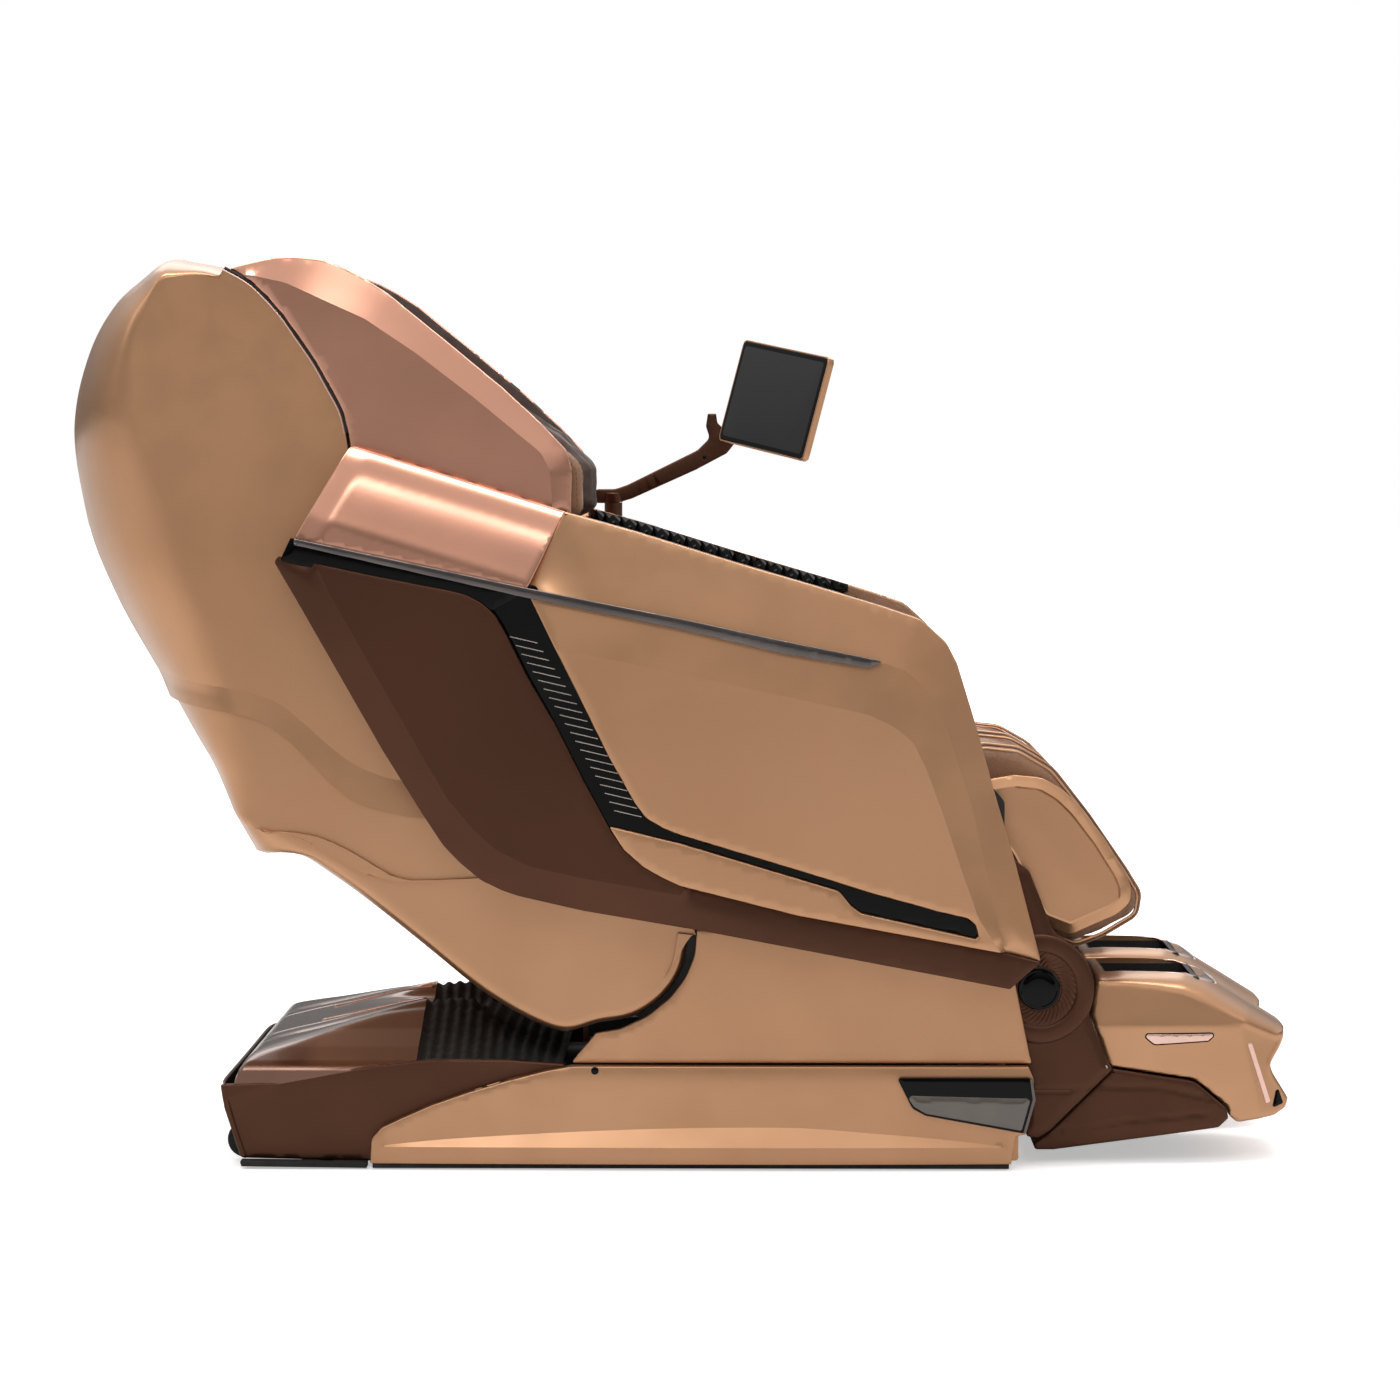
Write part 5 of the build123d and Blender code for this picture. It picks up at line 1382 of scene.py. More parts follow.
def toe_trim(side, word, body):
    """Bright U-shaped trim round the toe end of the well opening."""
    vertices, faces = [], []
    stations = []
    for t in np.linspace(-1, 1, 33):
        a = t * math.pi / 2
        y = 90 * np.sign(math.sin(a)) * abs(math.sin(a)) ** 0.7
        x = 700 + 66 * abs(math.cos(a)) ** 0.6
        stations.append((x, y))
    for x, y in stations:
        for spread in (0.0, 4.0, 20.0, 24.0):
            px = x + spread * 0.85
            py = y * (1 + spread / 260)
            top = np.interp(px, [604, 640, 697, 734, 766, 800, 882], [269, 272, 272, 271, 259, 237, 187])
            crown = top - 26 * (abs(py) / FOOT_HALF) ** 3.2 * np.interp(px, [700, 800], [1.0, 1.5])
            lift = 0.2 if spread in (0.0, 24.0) else 1.8
            vertices.append((px, side * FOOT_MID + py, crown + lift))
    for i in range(len(stations) - 1):
        for j in range(3):
            a = i * 4 + j
            faces.append((a, a + 1, a + 5, a + 4))
    trim = moulded("toe_trim_" + word, vertices, faces, PINK, body, "strip_chrome", 40)
    solid = trim.modifiers.new("thickness", "SOLIDIFY")
    solid.thickness, solid.offset = 0.0025, -1.0


SOLE_FACE = [(627, 136), (744, 118), (790, 79), (793, 64), (779, 51), (543, 19), (517, 19), (514, 28),
             (540, 49)]


def foot_sole(side, word):
    """Dark brown sole cover of the foot with two moulded lines."""
    loop = rounded(SOLE_FACE, [2, 30, 10, 4, 8, 20, 5, 4, 10], 6)
    lines = [np.array([(520, 38), (640, 60), (760, 72)], float), np.array([(600, 112), (700, 108),
                                                                           (770, 92)], float)]

    def height(p):
        level = np.full(len(p), 150.0) - 4 * np.clip((60 - p[:, 1]) / 40, 0, 1) ** 1.5
        level -= 30 * np.clip((p[:, 0] - 690) / 195, 0, 1) ** 2.2
        for line in lines:
            level -= 1.4 * np.exp(-(distance(p, line, False) / 2.0) ** 2)
        return FOOT_MID + level

    sole = relief("foot_sole_cover_" + word, loop, height, FOOT_MID, BROWN, "foot_" + word,
                  side, edge=4.0,
                  grid=5, about=FOOT_MID)
    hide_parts("foot_sole_" + word)


def legs_and_feet():
    for side, word in ((LEFT, "left"), (RIGHT, "right")):
        leg_arms(side, word)
        calf_shells(side, word)
        height = foot_shell(side, word)
        foot_details(side, word, height)
        foot_sole(side, word)


# ---- padded pieces ---------------------------------------------------------------------------------
BACK_PIVOT, BACK_UP, BACK_FORE = np.array([-105.0, 329.0]), np.array([-0.494, 0.8695]), np.array([0.8695,
                                                                                                  0.494])
SIM_FRAMES = 18


def on_back(up, fore):
    """(X, Z) at a height along the back rest and a distance in front of its pivot line."""
    return tuple(BACK_PIVOT + up * BACK_UP + fore * BACK_FORE)


SEAT = [(-60, 336), (-62, 425), (-20, 452), (180, 462), (290, 480), (335, 450), (335, 332), (0, 332)]
ARM_PAD = [(44, 340), (335, 340), (340, 440), (330, 560), (300, 640), (180, 668), (20, 690), (-60, 640),
           (-30, 480)]
WING_PAD_RADIUS = [20, 40, 30, 90, 200, 200, 60, 16, 16, 20, 40, 60, 30]
WING_PAD = [(-560, 1130), (-500, 1230), (-463, 1255), (-403, 1222), (-323, 1157), (-241, 1089), (-175, 1048),
            (-130, 1004), (-122, 992), (-120, 925), (-200, 890), (-380, 930), (-470, 960)]
BACK_PAD = [on_back(66, 4), on_back(66, 52), on_back(180, 68), on_back(330, 76), on_back(560, 62),
            on_back(790, 60),
            on_back(790, 4)]
PILLOW = [on_back(796, 4), on_back(796, 60), on_back(820, 92), on_back(880, 104), on_back(950, 96),
          on_back(1000, 60),
          on_back(1006, 4)]
CALF = [(444, 598), (493, 593), (542, 565), (594, 498), (647, 421), (669, 385), (664, 352), (614, 322),
        (574, 307),
        (510, 332), (436, 420), (384, 470), (352, 516), (364, 560), (400, 590)]
BOLSTER = [(662, 2), (662, 58), (1008, 58), (1008, 2)]
CALF_TROUGH = [(520, 640), (508, 560), (560, 470), (592, 400), (610, 300), (640, 200), (900, 300), (800, 640)]


class Pad:
    """One cushion: its outline and Y range in mm, how it is filled and which vertices rest on something."""

    def __init__(self, name, node, body, points, radius, low, high, swell, shrink, rests, cell=6.0, mat=None,
                 fill=0.7,
                 edge=16.0):
        self.name, self.node, self.body, self.low, self.high = name, node, body, low, high
        self.swell, self.rests, self.cell, self.mat, self.fill = swell, rests, cell, mat or LEATHER, fill
        loop = grown(rounded(points, radius, 12), -shrink)
        middle, half = (low + high) / 2, (high - low) / 2 - shrink
        self.piece = relief(name, loop, lambda p: np.full(len(p), middle + half), middle, self.mat, body,
                            RIGHT, edge=edge, steps=4, grid=0, about=middle)


def carve(pad, loop, low, high):
    """Cut a trough with the outline of loop out of a pad."""
    middle, half = (low + high) / 2, (high - low) / 2
    cutter = relief(pad.name + "_cut", loop, lambda p: np.full(len(p), middle + half), middle, LEATHER,
                    pad.body,
                    RIGHT, edge=16.0, steps=4, grid=0, about=middle)
    cut_out(pad.piece, cutter)


def places(mesh):
    """Vertex positions as an array, in mm."""
    flat = np.empty(len(mesh.vertices) * 3)
    mesh.vertices.foreach_get("co", flat)
    return flat.reshape(-1, 3) / MM


def place_back(mesh, points):
    """Give a mesh its vertex positions, in mm."""
    mesh.vertices.foreach_set("co", (points * MM).ravel())
    mesh.update()


def inflate(pads):
    """Blow the pads up with cloth pressure, keep each point within its pad's swell, and smooth them."""
    starts = []
    for pad in pads:
        remesh = pad.piece.modifiers.new("remesh", "REMESH")
        remesh.mode, remesh.voxel_size = "VOXEL", pad.cell * MM
        apply_modifiers(pad.piece)
        starts.append(places(pad.piece.data))
        held = [int(i) for i in np.nonzero(pad.rests(starts[-1]))[0]]
        group = pad.piece.vertex_groups.new(name="held")
        group.add(held, 1.0, "REPLACE")
        cloth = pad.piece.modifiers.new("cloth", "CLOTH")
        cloth.settings.quality = 4
        cloth.settings.use_pressure = True
        cloth.settings.uniform_pressure_force = 4.0
        cloth.settings.vertex_group_mass = "held"
        cloth.settings.effector_weights.gravity = 0.0
        cloth.collision_settings.use_collision = False
        cloth.point_cache.frame_start, cloth.point_cache.frame_end = 1, SIM_FRAMES
    for frame_number in range(1, SIM_FRAMES + 1):
        bpy.context.scene.frame_set(frame_number)
    for pad, start in zip(pads, starts):
        apply_modifiers(pad.piece)
        moved = places(pad.piece.data)
        step = moved - start
        size = np.maximum(np.linalg.norm(step, axis=1, keepdims=True), 1e-6)
        moved = start + step / size * pad.swell * np.tanh(size / pad.swell)
        place_back(pad.piece.data, moved)
        smooth = pad.piece.modifiers.new("smooth", "SMOOTH")
        smooth.factor, smooth.iterations = 0.5, 4
        finer = pad.piece.modifiers.new("finer", "SUBSURF")
        finer.levels = finer.render_levels = 1
        apply_modifiers(pad.piece)
        pad.piece.vertex_groups.clear()
    bpy.context.scene.frame_set(1)


def sew(pad, seams, where=None, deep=3.2, wide=4.5):
    """Press sewn seams into a pad: seams maps points in mm to their distance from the nearest seam."""
    mesh = pad.piece.data
    points = places(mesh)
    normals = np.empty(len(points) * 3)
    mesh.vertices.foreach_get("normal", normals)
    gap = seams(points)
    press = deep * (np.exp(-(gap / wide) ** 2) - 0.25 * np.exp(-((gap - 2.2 * wide) / wide) ** 2))
    if where is not None:
        press = press * where(points)
    place_back(mesh, points - normals.reshape(-1, 3) * press[:, None])


def ray_surface(piece):
    """Surface of a piece to drop points on to."""
    return BVHTree.FromPolygons([v.co for v in piece.data.vertices],
                                [p.vertices for p in piece.data.polygons])


def stitches(name, surface, lines, toward, body, dash=4.6, gap=3.0, thick=0.55,
             mat=None):
    """Short threads along lines in mm, dropped on to a surface in the direction toward."""
    vertices, faces = [], []
    toward = Vector(toward).normalized()
    for line in lines:
        line = np.asarray(line, float)
        run = np.concatenate([[0], np.cumsum(np.linalg.norm(np.diff(line, axis=0), axis=1))])
        at = 2.0
        while at + dash < run[-1]:
            ends = []
            for r in (at, at + dash / 2, at + dash):
                p = Vector([float(np.interp(r, run, line[:, k])) for k in range(3)]) * MM
                hit, normal, _, _ = surface.ray_cast(p - toward * 0.12, toward, 0.24)
                if hit is None:
                    ends = []
                    break
                if normal.dot(toward) > 0:
                    normal = -normal
                ends.append((hit + normal * thick * MM * 0.2, normal))
            at += dash + gap
            if not ends:
                continue
            along = (ends[2][0] - ends[0][0]).normalized()
            first = len(vertices)
            for k, (point, normal) in enumerate(ends):
                side = along.cross(normal).normalized()
                size = thick * MM * (1.0 if k == 1 else 0.55)
                for a in range(6):
                    angle = math.tau * a / 6
                    vertices.append(tuple(point + (side * math.cos(angle) + normal * math.sin(angle)) * size))
            for k in range(2):
                for a in range(6):
                    i, j = first + k * 6 + a, first + k * 6 + (a + 1) % 6
                    faces.append((i, j, j + 6, i + 6))
            faces.append(tuple(first + a for a in range(6))[::-1])
            faces.append(tuple(first + 12 + a for a in range(6)))
    if not faces:
        return None
    threads = make(name, vertices, faces, mat or THREAD, body, angle=60)
    weld(threads, 1e-7)
    return threads


def piping(name, surface_points, radius, mat, body, closed=True):
    """Round bead along points in mm."""
    line = np.asarray(surface_points, float)
    count, sides = len(line), 8
    vertices, faces = [], []
    ahead = np.roll(line, -1, axis=0) - np.roll(line, 1, axis=0)
    if not closed:
        ahead[0], ahead[-1] = line[1] - line[0], line[-1] - line[-2]
    ahead /= np.linalg.norm(ahead, axis=1, keepdims=True)
    for p, t in zip(line, ahead):
        up = np.cross(t, (0, 1, 0))
        up /= max(np.linalg.norm(up), 1e-9)
        side = np.cross(t, up)
        for a in range(sides):
            angle = math.tau * a / sides
            vertices.append(p + (up * math.cos(angle) + side * math.sin(angle)) * radius)
    for i in range(count if closed else count - 1):
        for a in range(sides):
            j, n, m = i * sides + a, i * sides + (a + 1) % sides, ((i + 1) % count) * sides
            faces.append((j, n, m + (a + 1) % sides, m + a))
    if not closed:
        faces += [tuple(range(sides))[::-1], tuple((count - 1) * sides + a for a in range(sides))]
    bead = make(name, np.array(vertices) * MM, faces, mat, body, angle=60)
    weld(bead)
    return bead


def mirrored(piece, name, body, mat=None, node=None, fill=None, slot="leather_brown"):
    """The same piece on the other side of the chair."""
    mesh = piece.data.copy()
    points = places(mesh) * np.array([1, -1, 1])
    place_back(mesh, points)
    mesh.flip_normals()
    twin = bpy.data.objects.new(name, mesh)
    bpy.context.scene.collection.objects.link(twin)
    if mat:
        mesh.materials.clear()
        mesh.materials.append(mat)
    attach(twin, body)
    if node:
        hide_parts(node)
    return twin


def back_lining():
    """Quilted cloth over the back board, sewn in rows across it."""
    low, high, half = 70.0, 1010.0, 260.0
    up, across = np.meshgrid(np.linspace(low, high, 236), np.linspace(-half, half, 80), indexing="ij")
    rim = np.minimum(np.minimum(up - low, high - up), half - np.abs(across))
    puff = 3.5 * np.abs(np.sin(math.pi * (up - low) / 47)) ** 0.5 * np.clip(rim / 20, 0, 1) ** 0.5
    front = 1.0 + puff - 5.0 * np.clip(1 - rim / 6, 0, 1) ** 2

    def sheet(fore):
        x, z = (BACK_PIVOT[k] + up * BACK_UP[k] + fore * BACK_FORE[k] for k in (0, 1))
        return np.stack([x, across, z], axis=2)

    cloth = double_skin("back_lining_sheet", sheet(front), sheet(np.full_like(front, -8.0)), LINING,
                        "backrest",
                        "lining", 50)
    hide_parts("back_lining")


def cushions():
    """Every padded piece, blown up together, then sewn."""
    fore = lambda p: (p[:, 0] - BACK_PIVOT[0]) * BACK_FORE[0] + (p[:, 2] - BACK_PIVOT[1]) * BACK_FORE[1]
    up = lambda p: (p[:, 0] - BACK_PIVOT[0]) * BACK_UP[0] + (p[:, 2] - BACK_PIVOT[1]) * BACK_UP[1]
    seat = Pad("seat_cushion_cover", "seat_cushion", "carriage", SEAT, [10, 14, 40, 60, 40, 30, 4, 4], -236,
               236, 22, 9,
               lambda p: p[:, 2] < 352, 9.0)
    back = Pad("back_cushion_cover", "back_cushion", "backrest", BACK_PAD, [6, 20, 90, 90, 90, 20, 6], -234,
               234, 22, 8,
               lambda p: fore(p) < 20, 9.0)
    pillow = Pad("head_pillow_cover", "head_pillow", "backrest", PILLOW, [6, 16, 30, 40, 40, 20, 6], -200,
                 200, 22, 8,
                 lambda p: fore(p) < 20, 8.0)
    arm = Pad("arm_pad_cover_right", "arm_pads", "carriage", ARM_PAD, [10, 10, 40, 60, 30, 60, 40, 30, 60],
              242, 334, 16, 7,
              lambda p: p[:, 1] < -322, 7.0)
    wing = Pad("wing_pad_cover_right", "wing_pads", "backrest", WING_PAD, WING_PAD_RADIUS,
               262, 321, 9, 4, lambda p: p[:, 1] < -314, 6.0, LEATHER, edge=10.0)
    calf = Pad("calf_pad_cover_right", "calf_pad_right", "leg_right", CALF,
               [30, 40, 60, 90, 90, 24, 24, 60, 20, 40, 60, 40,
               30, 40, 30], 22, 297, 9, 5, lambda p: (p[:, 1] < -288) | (p[:, 1] > -30), 6.0)
    carve(calf, rounded(CALF_TROUGH, 20, 12), 84, 238)
    bolster = Pad("back_bolster_right", "back_lining", "backrest", [on_back(u, f) for u, f in BOLSTER], 10,
                  236, 260, 5, 2,
                  lambda p: fore(p) < 10, 5.0, LINING, edge=8.0)
    inflate([seat, back, pillow, arm, wing, calf, bolster])
    edge_seam = lambda p, y: np.abs(np.abs(p[:, 1]) - y)
    sew(seat, lambda p: np.minimum(edge_seam(p, 158), np.abs(p[:, 0] - 210) + np.where(np.abs(p[:, 1]) < 158,
                                                                                       0, 99)),
        lambda p: np.clip((p[:, 2] - 400) / 30, 0, 1))
    rungs = (150, 240, 330, 420, 510, 600, 690)
    chevron = lambda p: np.min([np.abs(up(p) + 0.22 * np.abs(p[:, 1]) - r) for r in rungs], axis=0)
    sew(back, lambda p: np.minimum(edge_seam(p, 160), chevron(p) + np.where(np.abs(p[:, 1]) < 160, 0, 99)),
        lambda p: np.clip((fore(p) - 30) / 20, 0, 1))
    sew(pillow, lambda p: edge_seam(p, 128), lambda p: np.clip((fore(p) - 40) / 20, 0, 1))
    # sewn rows round the front rim of the wing pads, and the piping seams of the calf pads
    rim = rounded(WING_PAD, WING_PAD_RADIUS, 8)
    sew(wing, lambda p: distance(p[:, [0, 2]], grown(rim, -9)), lambda p: (p[:, 1] > -300) * 1.0, 2.0, 3.0)
    sew(calf, lambda p: np.minimum(np.abs(p[:, 1] + 262), np.abs(p[:, 1] + 58)), None, 2.6, 3.2)
    for pad in (seat, back, pillow, arm, wing, calf, bolster):
        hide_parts(pad.node)
    mirrored(bolster.piece, "back_bolster_left", "backrest", fill=0.7)
    mirrored(arm.piece, "arm_pad_cover_left", "carriage", fill=0.7)
    # the far wing pad is the near pad in dark leather: painted shade
    mirrored(wing.piece, "wing_pad_cover_left", "backrest", LEATHER_SHADED, fill=0.7)
    mirrored(calf.piece, "calf_pad_cover_left", "leg_left", node="calf_pad_left", fill=0.7)
    seat_top = ray_surface(seat.piece)
    rows = [[(x, s * (158 + d), 470) for x in np.linspace(-30, 310, 60)] for s in (-1, 1) for d in (-5, 5)]
    stitches("seat_stitching", seat_top, rows, (0, 0, -1), "carriage")
    back_top = ray_surface(back.piece)
    ahead = (BACK_FORE[0], 0, BACK_FORE[1])
    rows = [[(on_back(u, 90)[0], s * (160 + d), on_back(u, 90)[1]) for u in np.linspace(90, 770, 90)]
            for s in (-1, 1) for d in (-5, 5)]
    stitches("back_stitching", back_top, rows, [-a for a in ahead], "backrest")
    pillow_top = ray_surface(pillow.piece)
    rows = [[(on_back(u, 110)[0], s * (128 + d), on_back(u, 110)[1]) for u in np.linspace(815, 990, 30)]
            for s in (-1, 1) for d in (-5, 5)]
    stitches("pillow_stitching", pillow_top, rows, [-a for a in ahead], "backrest")
    wing_rim(wing.piece, rim)
    calf_beads()


def wing_rim(piece, rim):
    """Leather rim of each wing pad that shows ahead of the copper wing, with two sewn rows."""
    surface = ray_surface(piece)
    for side, word in SIDES:
        rows = []
        for inset in (7.0, 15.0):
            line = grown(rim, -inset)
            keep = [p for p in line if p[0] > -290 and p[1] > 905]
            keep.sort(key=lambda p: -math.atan2(p[1] - 930, p[0] + 260))
            rows.append([(p[0], -330.0, p[1]) for p in keep])
        threads = stitches("wing_pad_stitching_" + word, surface, rows, (0, 1, 0), "backrest")
        if side == LEFT and threads:
            place_back(threads.data, places(threads.data) * np.array([1, -1, 1]))
            threads.data.flip_normals()


def calf_beads():
    """Thin piping round the outer edge of each calf unit, and bright beads on its inner walls."""
    loop = rounded(CALF, [30, 40, 60, 90, 90, 24, 24, 60, 20, 40, 60, 40, 30, 40, 30], 8)
    for side, word in SIDES:
        for index, (y, inset, mat, slot) in enumerate(((294.0, 6.0, GOLD, "champagne"),
                                                       (284.0, 1.0, LEATHER, "leather_brown"),
                                                       (262.0, 1.0, GOLD, "champagne"),
                                                       (58.0, 1.0, GOLD, "champagne"),
                                                       (36.0, 1.0, LEATHER, "leather_brown"))):
            line = grown(loop, -inset)
            piping("calf_bead_%s_%d" % (word, index), [(p[0], side * y, p[1]) for p in line], 2.0, mat,
                   "leg_" + word)


# ---- arm linings, console, tablet ------------------------------------------------------------------
ARM_LINER = [(-144, 926), (-57, 903), (86, 859), (228, 817), (300, 795), (349, 778), (383, 747), (398, 717),
             (414, 600),
             (395, 420), (350, 345), (60, 345), (40, 500), (-60, 640), (-126, 790)]
FACET_TOP = [(-142, 927), (-57, 904), (86, 860), (228, 818), (262, 808)]


def arm_linings():
    """Leather inner faces of the arms with a gloss black faceted band under their top edge."""
    loop = rounded(ARM_LINER, [6, 60, 60, 60, 60, 40, 30, 40, 60, 60, 20, 20, 60, 60, 60])
    face, rear = 350.5, 361.5
    lining = relief("arm_lining", loop, lambda p: np.full(len(p), -face - 2.0), -rear, LEATHER, "carriage",
                    0, edge=3.0, grid=24)
    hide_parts("arm_liners")
    line = smooth_line(FACET_TOP, 33)
    vertices, faces = [], []
    rows = 3
    for i, p in enumerate(line):
        taper = min(1.0, (len(line) - 1 - i) / 6 + 0.25)
        for j in range(rows):
            shift = (line[min(i + 1, len(line) - 1)] - line[i]) * 0.5 * (j % 2)
            drop = j * 22 * taper
            peak = 3.6 if (i + j) % 2 else 0.6
            vertices.append((p[0] + shift[0], face - peak, p[1] + shift[1] - drop + 0.3))
    for i in range(len(line) - 1):
        for j in range(rows - 1):
            a = i * rows + j
            if (i + j) % 2:
                faces += [(a, a + 1, a + rows), (a + 1, a + rows + 1, a + rows)]
            else:
                faces += [(a, a + 1, a + rows + 1), (a, a + rows + 1, a + rows)]
    vertices, faces, _ = both_sides(np.array(vertices) * MM, faces, [])
    band = make("arm_facets", vertices, faces, BLACK, "carriage", angle=3)
    solid = band.modifiers.new("thickness", "SOLIDIFY")
    solid.thickness, solid.offset = 0.003, 1.0 if vertices[0][1] > 0 else -1.0


def console():
    """Arm console: a champagne body with a gloss top and a knurled dial."""
    loop = rounded([(-80, 893), (70, 849), (66, 826), (-76, 868)], 3, 4)
    body = relief("console_body", loop, lambda p: np.full(len(p), 347.6), 302.4, GOLD, "carriage",
                  RIGHT,
                  edge=2.0, grid=0)
    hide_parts("control_console")
    lean = math.asin(0.2815)
    up, along = np.array([math.sin(lean), math.cos(lean)]), np.array([math.cos(lean), -math.sin(lean)])
    top = np.array([-80.0, 893.0])

    def turned(name, at, profile, knurl, mat, body_name, slot, count=60):
        vertices, faces = [], []
        for r, lift in profile:
            for k in range(count):
                angle = math.tau * k / count
                radius = r * (1 + knurl * (0.5 + 0.5 * math.cos(12 * angle)) * (1 if 4 < r else 0))
                p = top + along * (at + radius * math.cos(angle)) + up * lift
                vertices.append((p[0], -326 + radius * math.sin(angle), p[1]))
        for i in range(len(profile) - 1):
            for k in range(count):
                a, b = i * count + k, i * count + (k + 1) % count
                faces.append((a, b, b + count, a + count))
        faces.append(tuple(range(count))[::-1])
        faces.append(tuple((len(profile) - 1) * count + k for k in range(count)))
        piece = moulded(name, vertices, faces, mat, body_name, slot, 24)
        return piece

    dial = turned("dial_knob", 50, [(11.0, 0.6), (12.6, 2.0), (12.6, 5.0), (11.4, 6.0), (12.6, 7.4),
                                    (12.6, 11.5), (10.8, 14.5),
                                    (6.0, 16.0), (1.0, 16.2)], 0.05, CRYSTAL, "dial", "piano_black")
    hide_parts("jog_dial")
    turned("dial_collar", 50, [(16.6, -0.5), (17.4, 0.2), (17.4, 1.2), (16.0, 1.8), (15.1, 1.2),
                               (14.9, -0.5)], 0.0, PINK,
           "carriage", "strip_chrome")
    for at, body_name, node, name in ((94, "button_power", "power_button", "button_power_cap"),
                                      (118, "button_recline", "recline_button", "button_recline_cap")):
        cap = turned(name, at, [(4.9, -4.5), (4.9, 1.4), (4.5, 2.0), (2.5, 1.8), (0.6, 1.7)], 0.0, PINK,
                     body_name, "strip_chrome")
        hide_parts(node)


TABLET_AT, TABLET_ACROSS, TABLET_RISE = (Vector((144, 280, 1095)), Vector((0.541, -0.832,
                                                                           -0.135)).normalized(),
                                         Vector((0.258, 0, 0.966)))
ARM_PATH = [(-134, 934), (-100, 934), (-76, 941), (24, 986), (73, 1012), (84, 1026), (102, 1042),
            (129, 1051), (129, 1065),
            (96, 1062), (68, 1050), (58, 1060), (56, 1074), (43, 1074), (40, 1054), (46, 1036), (27, 1017),
            (-82, 963),
            (-102, 956), (-134, 956)]


def tablet():
    """Tablet: champagne case with a rolled rim, black bezel and dark screen, on a brown arm."""
    across = TABLET_ACROSS
    rise = (TABLET_RISE - across * TABLET_RISE.dot(across)).normalized()
    front = across.cross(rise) * -1
    if front.y > 0:
        front = -front

    def plate(name, width, height, radius, levels, mat, body, slot):
        corners = [(-width / 2, -height / 2), (width / 2, -height / 2), (width / 2, height / 2),
                   (-width / 2, height / 2)]
        vertices, faces, rings = [], [], []
        for inset, out in levels:
            loop = rounded([(x - math.copysign(inset, x), y - math.copysign(inset, y)) for x, y in corners],
                           max(radius - inset, 0.8), 6)
            loop = evenly(np.vstack([loop, loop[:1]]), 121)[:-1]
            ring = []
            for x, y in loop:
                ring.append(len(vertices))
                vertices.append(tuple((TABLET_AT + across * x + rise * y + front * out) * MM))
            rings.append(ring)
        for first, second in zip(rings, rings[1:]):
            stitch(first, second, faces)
        faces.append(tuple(rings[-1]))
        faces.append(tuple(rings[0][::-1]))
        piece = make(name, vertices, faces, mat, body, angle=30)
        weld(piece)
        shade(piece.data, (), 30)
        return piece

    case = plate("tablet_shell", 241, 163, 8, [(3.5, -12.8), (1.2, -12.0), (0.2, -10.0), (0.0, -7.0),
                                               (0.0, -1.6), (0.6, -0.6),
                                               (1.4, -0.4), (2.4, -0.6), (2.6, -2.4)], GOLD, "tablet",
                 "champagne")
    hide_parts("tablet_case")
    bezel = plate("tablet_bezel", 235.6, 157.6, 6, [(0.2, -2.2), (0.0, -0.9), (0.8, -0.2), (5.0, -0.1)],
                  BLACK, "tablet",
                  "piano_black")
    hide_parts("tablet_screen")
    plate("tablet_glass", 222, 144, 5, [(0, -0.3), (0.2, 0.15), (1.2, 0.2)], SCREEN, "tablet", "screen_glass")


def upright(name, centre, profile, mat, body, slot, count=48):
    """Turned piece about a vertical line: profile is (radius, Z)."""
    vertices, faces = [], []
    for radius, z in profile:
        vertices += [(centre[0] + radius * math.cos(math.tau * k / count),
                      centre[1] + radius * math.sin(math.tau * k / count), z)
                     for k in range(count)]
    for i in range(len(profile)):
        base, over = i * count, (i + 1) % len(profile) * count
        faces += [(base + k, base + (k + 1) % count, over + (k + 1) % count, over + k) for k in range(count)]
    piece = moulded(name, vertices, faces, mat, body, slot, 35)
    return piece


HINGE_FOOT = 1056


def hinge():
    """Tilt hinge behind the tablet: a barrel on the arm between two lugs on the case."""
    across, rise = TABLET_ACROSS, TABLET_RISE.normalized()
    back = across.cross(rise) * -1
    if back.dot(Vector((0, 1, 0))) < 0:
        back = -back
    pivot = TABLET_AT - across * 85 - rise * 20 + back * 27

    def barrel(name, start, end, radius, mat, body, slot, to_case=False):
        vertices, count = [], 32
        for at, r in ((start, radius - 0.8), (start + 0.8, radius), (end - 0.8, radius), (end, radius - 0.8)):
            for k in range(count):
                a = math.tau * k / count
                u, v = r * math.cos(a), r * math.sin(a)
                if to_case and v < 0:
                    v = -13.6 if k not in (0, count // 2) else v
                    u = math.copysign(r, u) if abs(u) > r * 0.3 else u
                vertices.append(tuple(pivot + across * at + rise * u + back * v))
        moulded(name, *loft([vertices[i * count:(i + 1) * count] for i in range(4)]), mat, body, slot, 30)

    barrel("tablet_hinge_barrel", -9.6, 9.6, 9.0, BROWN, "tablet_swivel", "dark_brown")
    barrel("tablet_hinge_lug_a", -14.6, -10.4, 8.0, GOLD, "tablet", "champagne", True)
    barrel("tablet_hinge_lug_b", 10.4, 14.6, 8.0, GOLD, "tablet", "champagne", True)
    upright_bar = rounded([(113, 362.5), (127, 362.5), (127, 371.5), (113, 371.5)], 2.5, 4)
    vertices, faces, rings = [], [], []
    for z in (HINGE_FOOT, pivot.z - 2):
        rings.append(list(range(len(vertices), len(vertices) + len(upright_bar))))
        vertices += [(x, y, z) for x, y in upright_bar]
    stitch(rings[0], rings[1], faces)
    faces += [tuple(rings[1]), tuple(rings[0][::-1])]
    weld(make("tablet_hinge_stem", np.array(vertices) * MM, faces, BROWN, "tablet_swivel",
              angle=40))


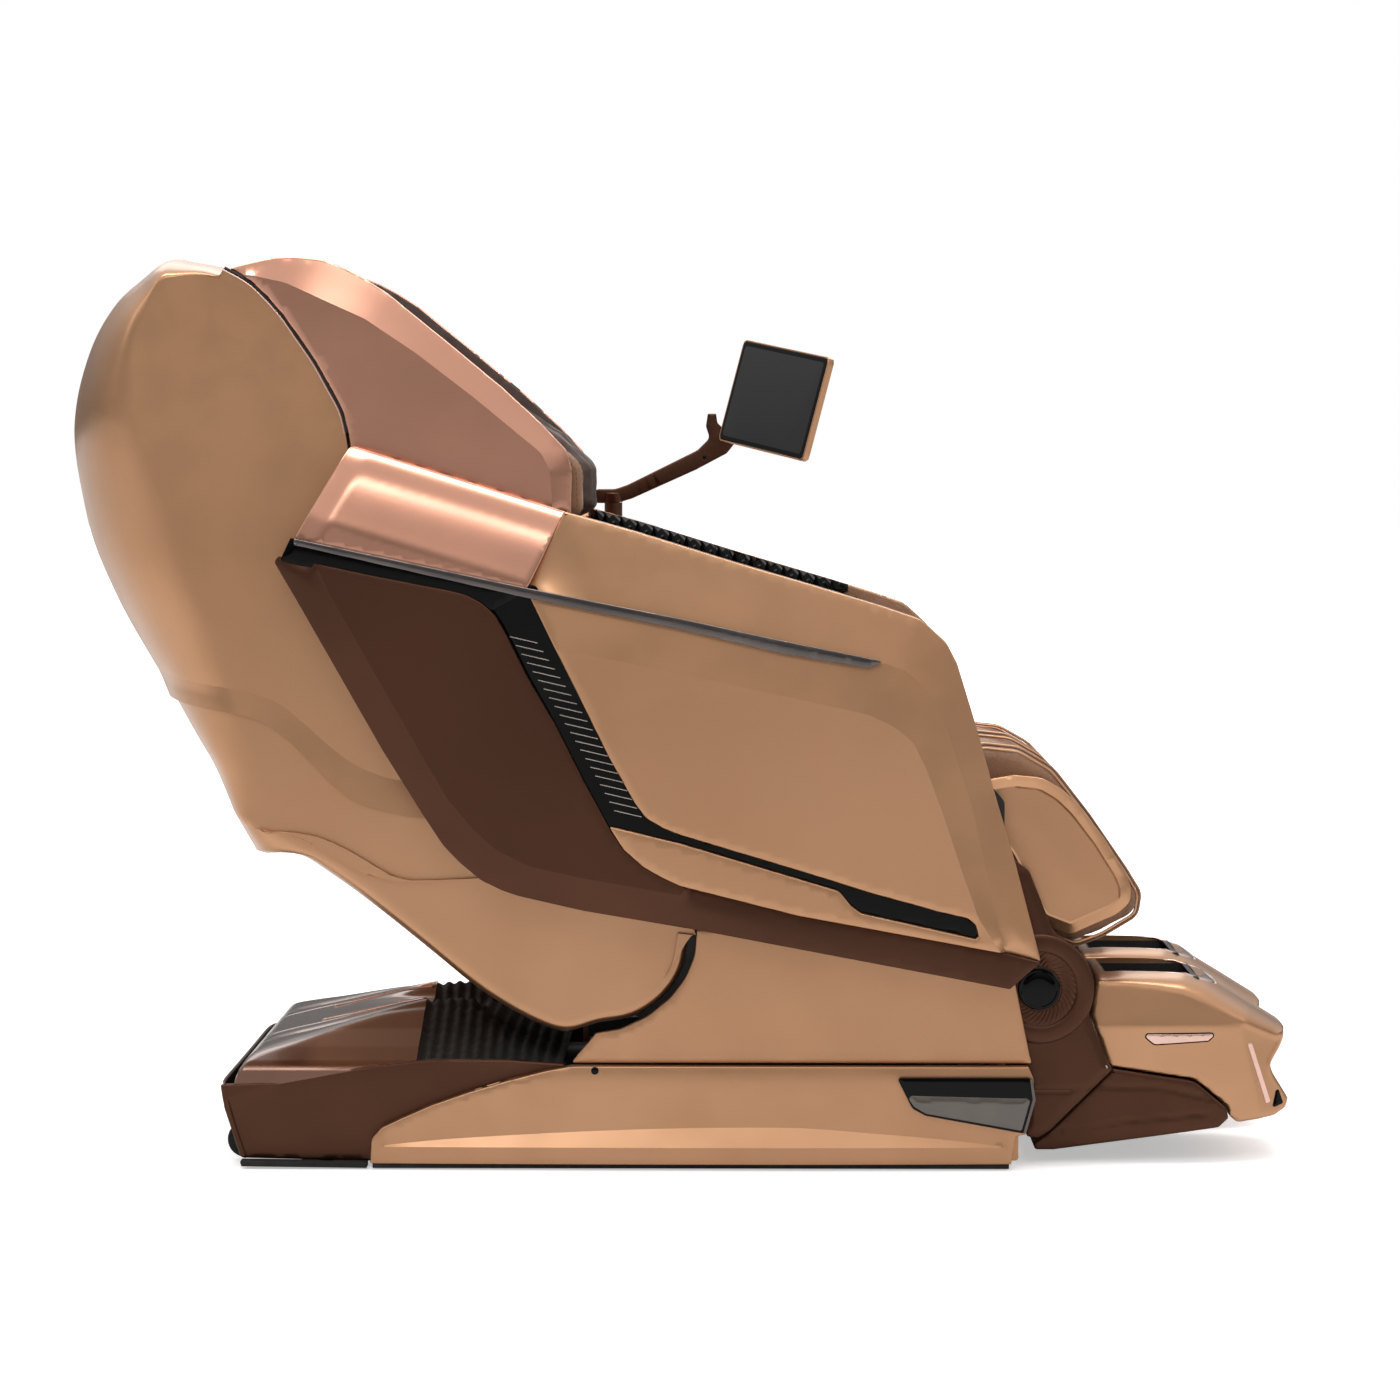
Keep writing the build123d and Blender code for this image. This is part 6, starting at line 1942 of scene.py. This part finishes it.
def tablet_arm():
    """Dark brown swivel arm with chamfered edges, a screw in its bend and a hinge block behind the tablet."""
    loop = rounded(ARM_PATH, [6, 30, 40, 60, 10, 10, 14, 2, 2, 14, 6, 6, 2, 2, 10, 10, 20, 40, 30, 6], 5)
    arm = relief("tablet_swivel_arm", loop, lambda p: np.full(len(p), -396.2), -404.0, BROWN,
                 "tablet_swivel",
                 RIGHT, edge=2.4, steps=4, grid=0, about=-404.0)
    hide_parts("tablet_arm")
    upright("tablet_arm_hub", (-105, 404), [(5, 950.5), (13.6, 950.5), (15, 949), (15, 937), (14.4, 935.6),
                                            (6.4, 935.6)], BROWN,
            "tablet_swivel", "dark_brown")
    upright("tablet_post_cover", (-105, 404), [(5, 935.0), (12.6, 935.0), (13.8, 934), (13.8, 916),
                                               (6.4, 914)], BROWN,
            "carriage", "dark_brown")
    hook = rounded([(110, 364), (128, 364), (128, 411), (110, 411)], 4, 6)
    vertices, faces, rings = [], [], []
    for inset, z in ((3, 1051.5), (0, 1053.5), (0, 1063.5), (3, 1065.5)):
        ring = grown(hook, -inset * 0.6)
        rings.append(list(range(len(vertices), len(vertices) + len(ring))))
        vertices += [(x, y, z) for x, y in ring]
    for first, second in zip(rings, rings[1:]):
        stitch(first, second, faces)
    faces += [tuple(rings[-1]), tuple(rings[0][::-1])]
    weld(make("tablet_arm_hook", np.array(vertices) * MM, faces, BROWN, "tablet_swivel",
              angle=40))
    hinge()
    disc = [(0, 0.5), (2.6, 0.4), (3.2, 0.0), (3.4, -1.5)]
    disc_piece("tablet_arm_screw", (38, 1006), disc, -396.4, BLACK, "tablet_swivel", 24,
               RIGHT)
    return arm


arm_fronts()
arm_lowers()
arm_uppers()
arm_trim()
base_covers()
carriage_covers()
floor_lamps()
back_shell()
spine_cover()
shell_seams()
base_rubber()
wings()
rear_hood()
painted_shadow_sheet()
rear_base()
legs_and_feet()
back_lining()
cushions()
arm_linings()
console()
tablet()
tablet_arm()

NODE_MATERIALS = {
    "champagne": (GOLD, "base_front_panel"),
    "dark_brown": (BROWN, "tablet_post"),
    "steel": (STEEL, "base_frame seat_frame back_frame slide_actuator_body massage_carriage"),
    "bright": (BRIGHT, "slide_actuator_rod"),
    "plastic": (PLASTIC, "control_box air_pump power_inlet power_switch massage_rollers"),
    "rubber": (RUBBER, "floor_feet transport_wheel_right transport_wheel_left"),
}
for mat, names in NODE_MATERIALS.values():
    for node_name in names.split():
        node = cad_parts[node_name]
        node.data.materials.clear()
        node.data.materials.append(mat)
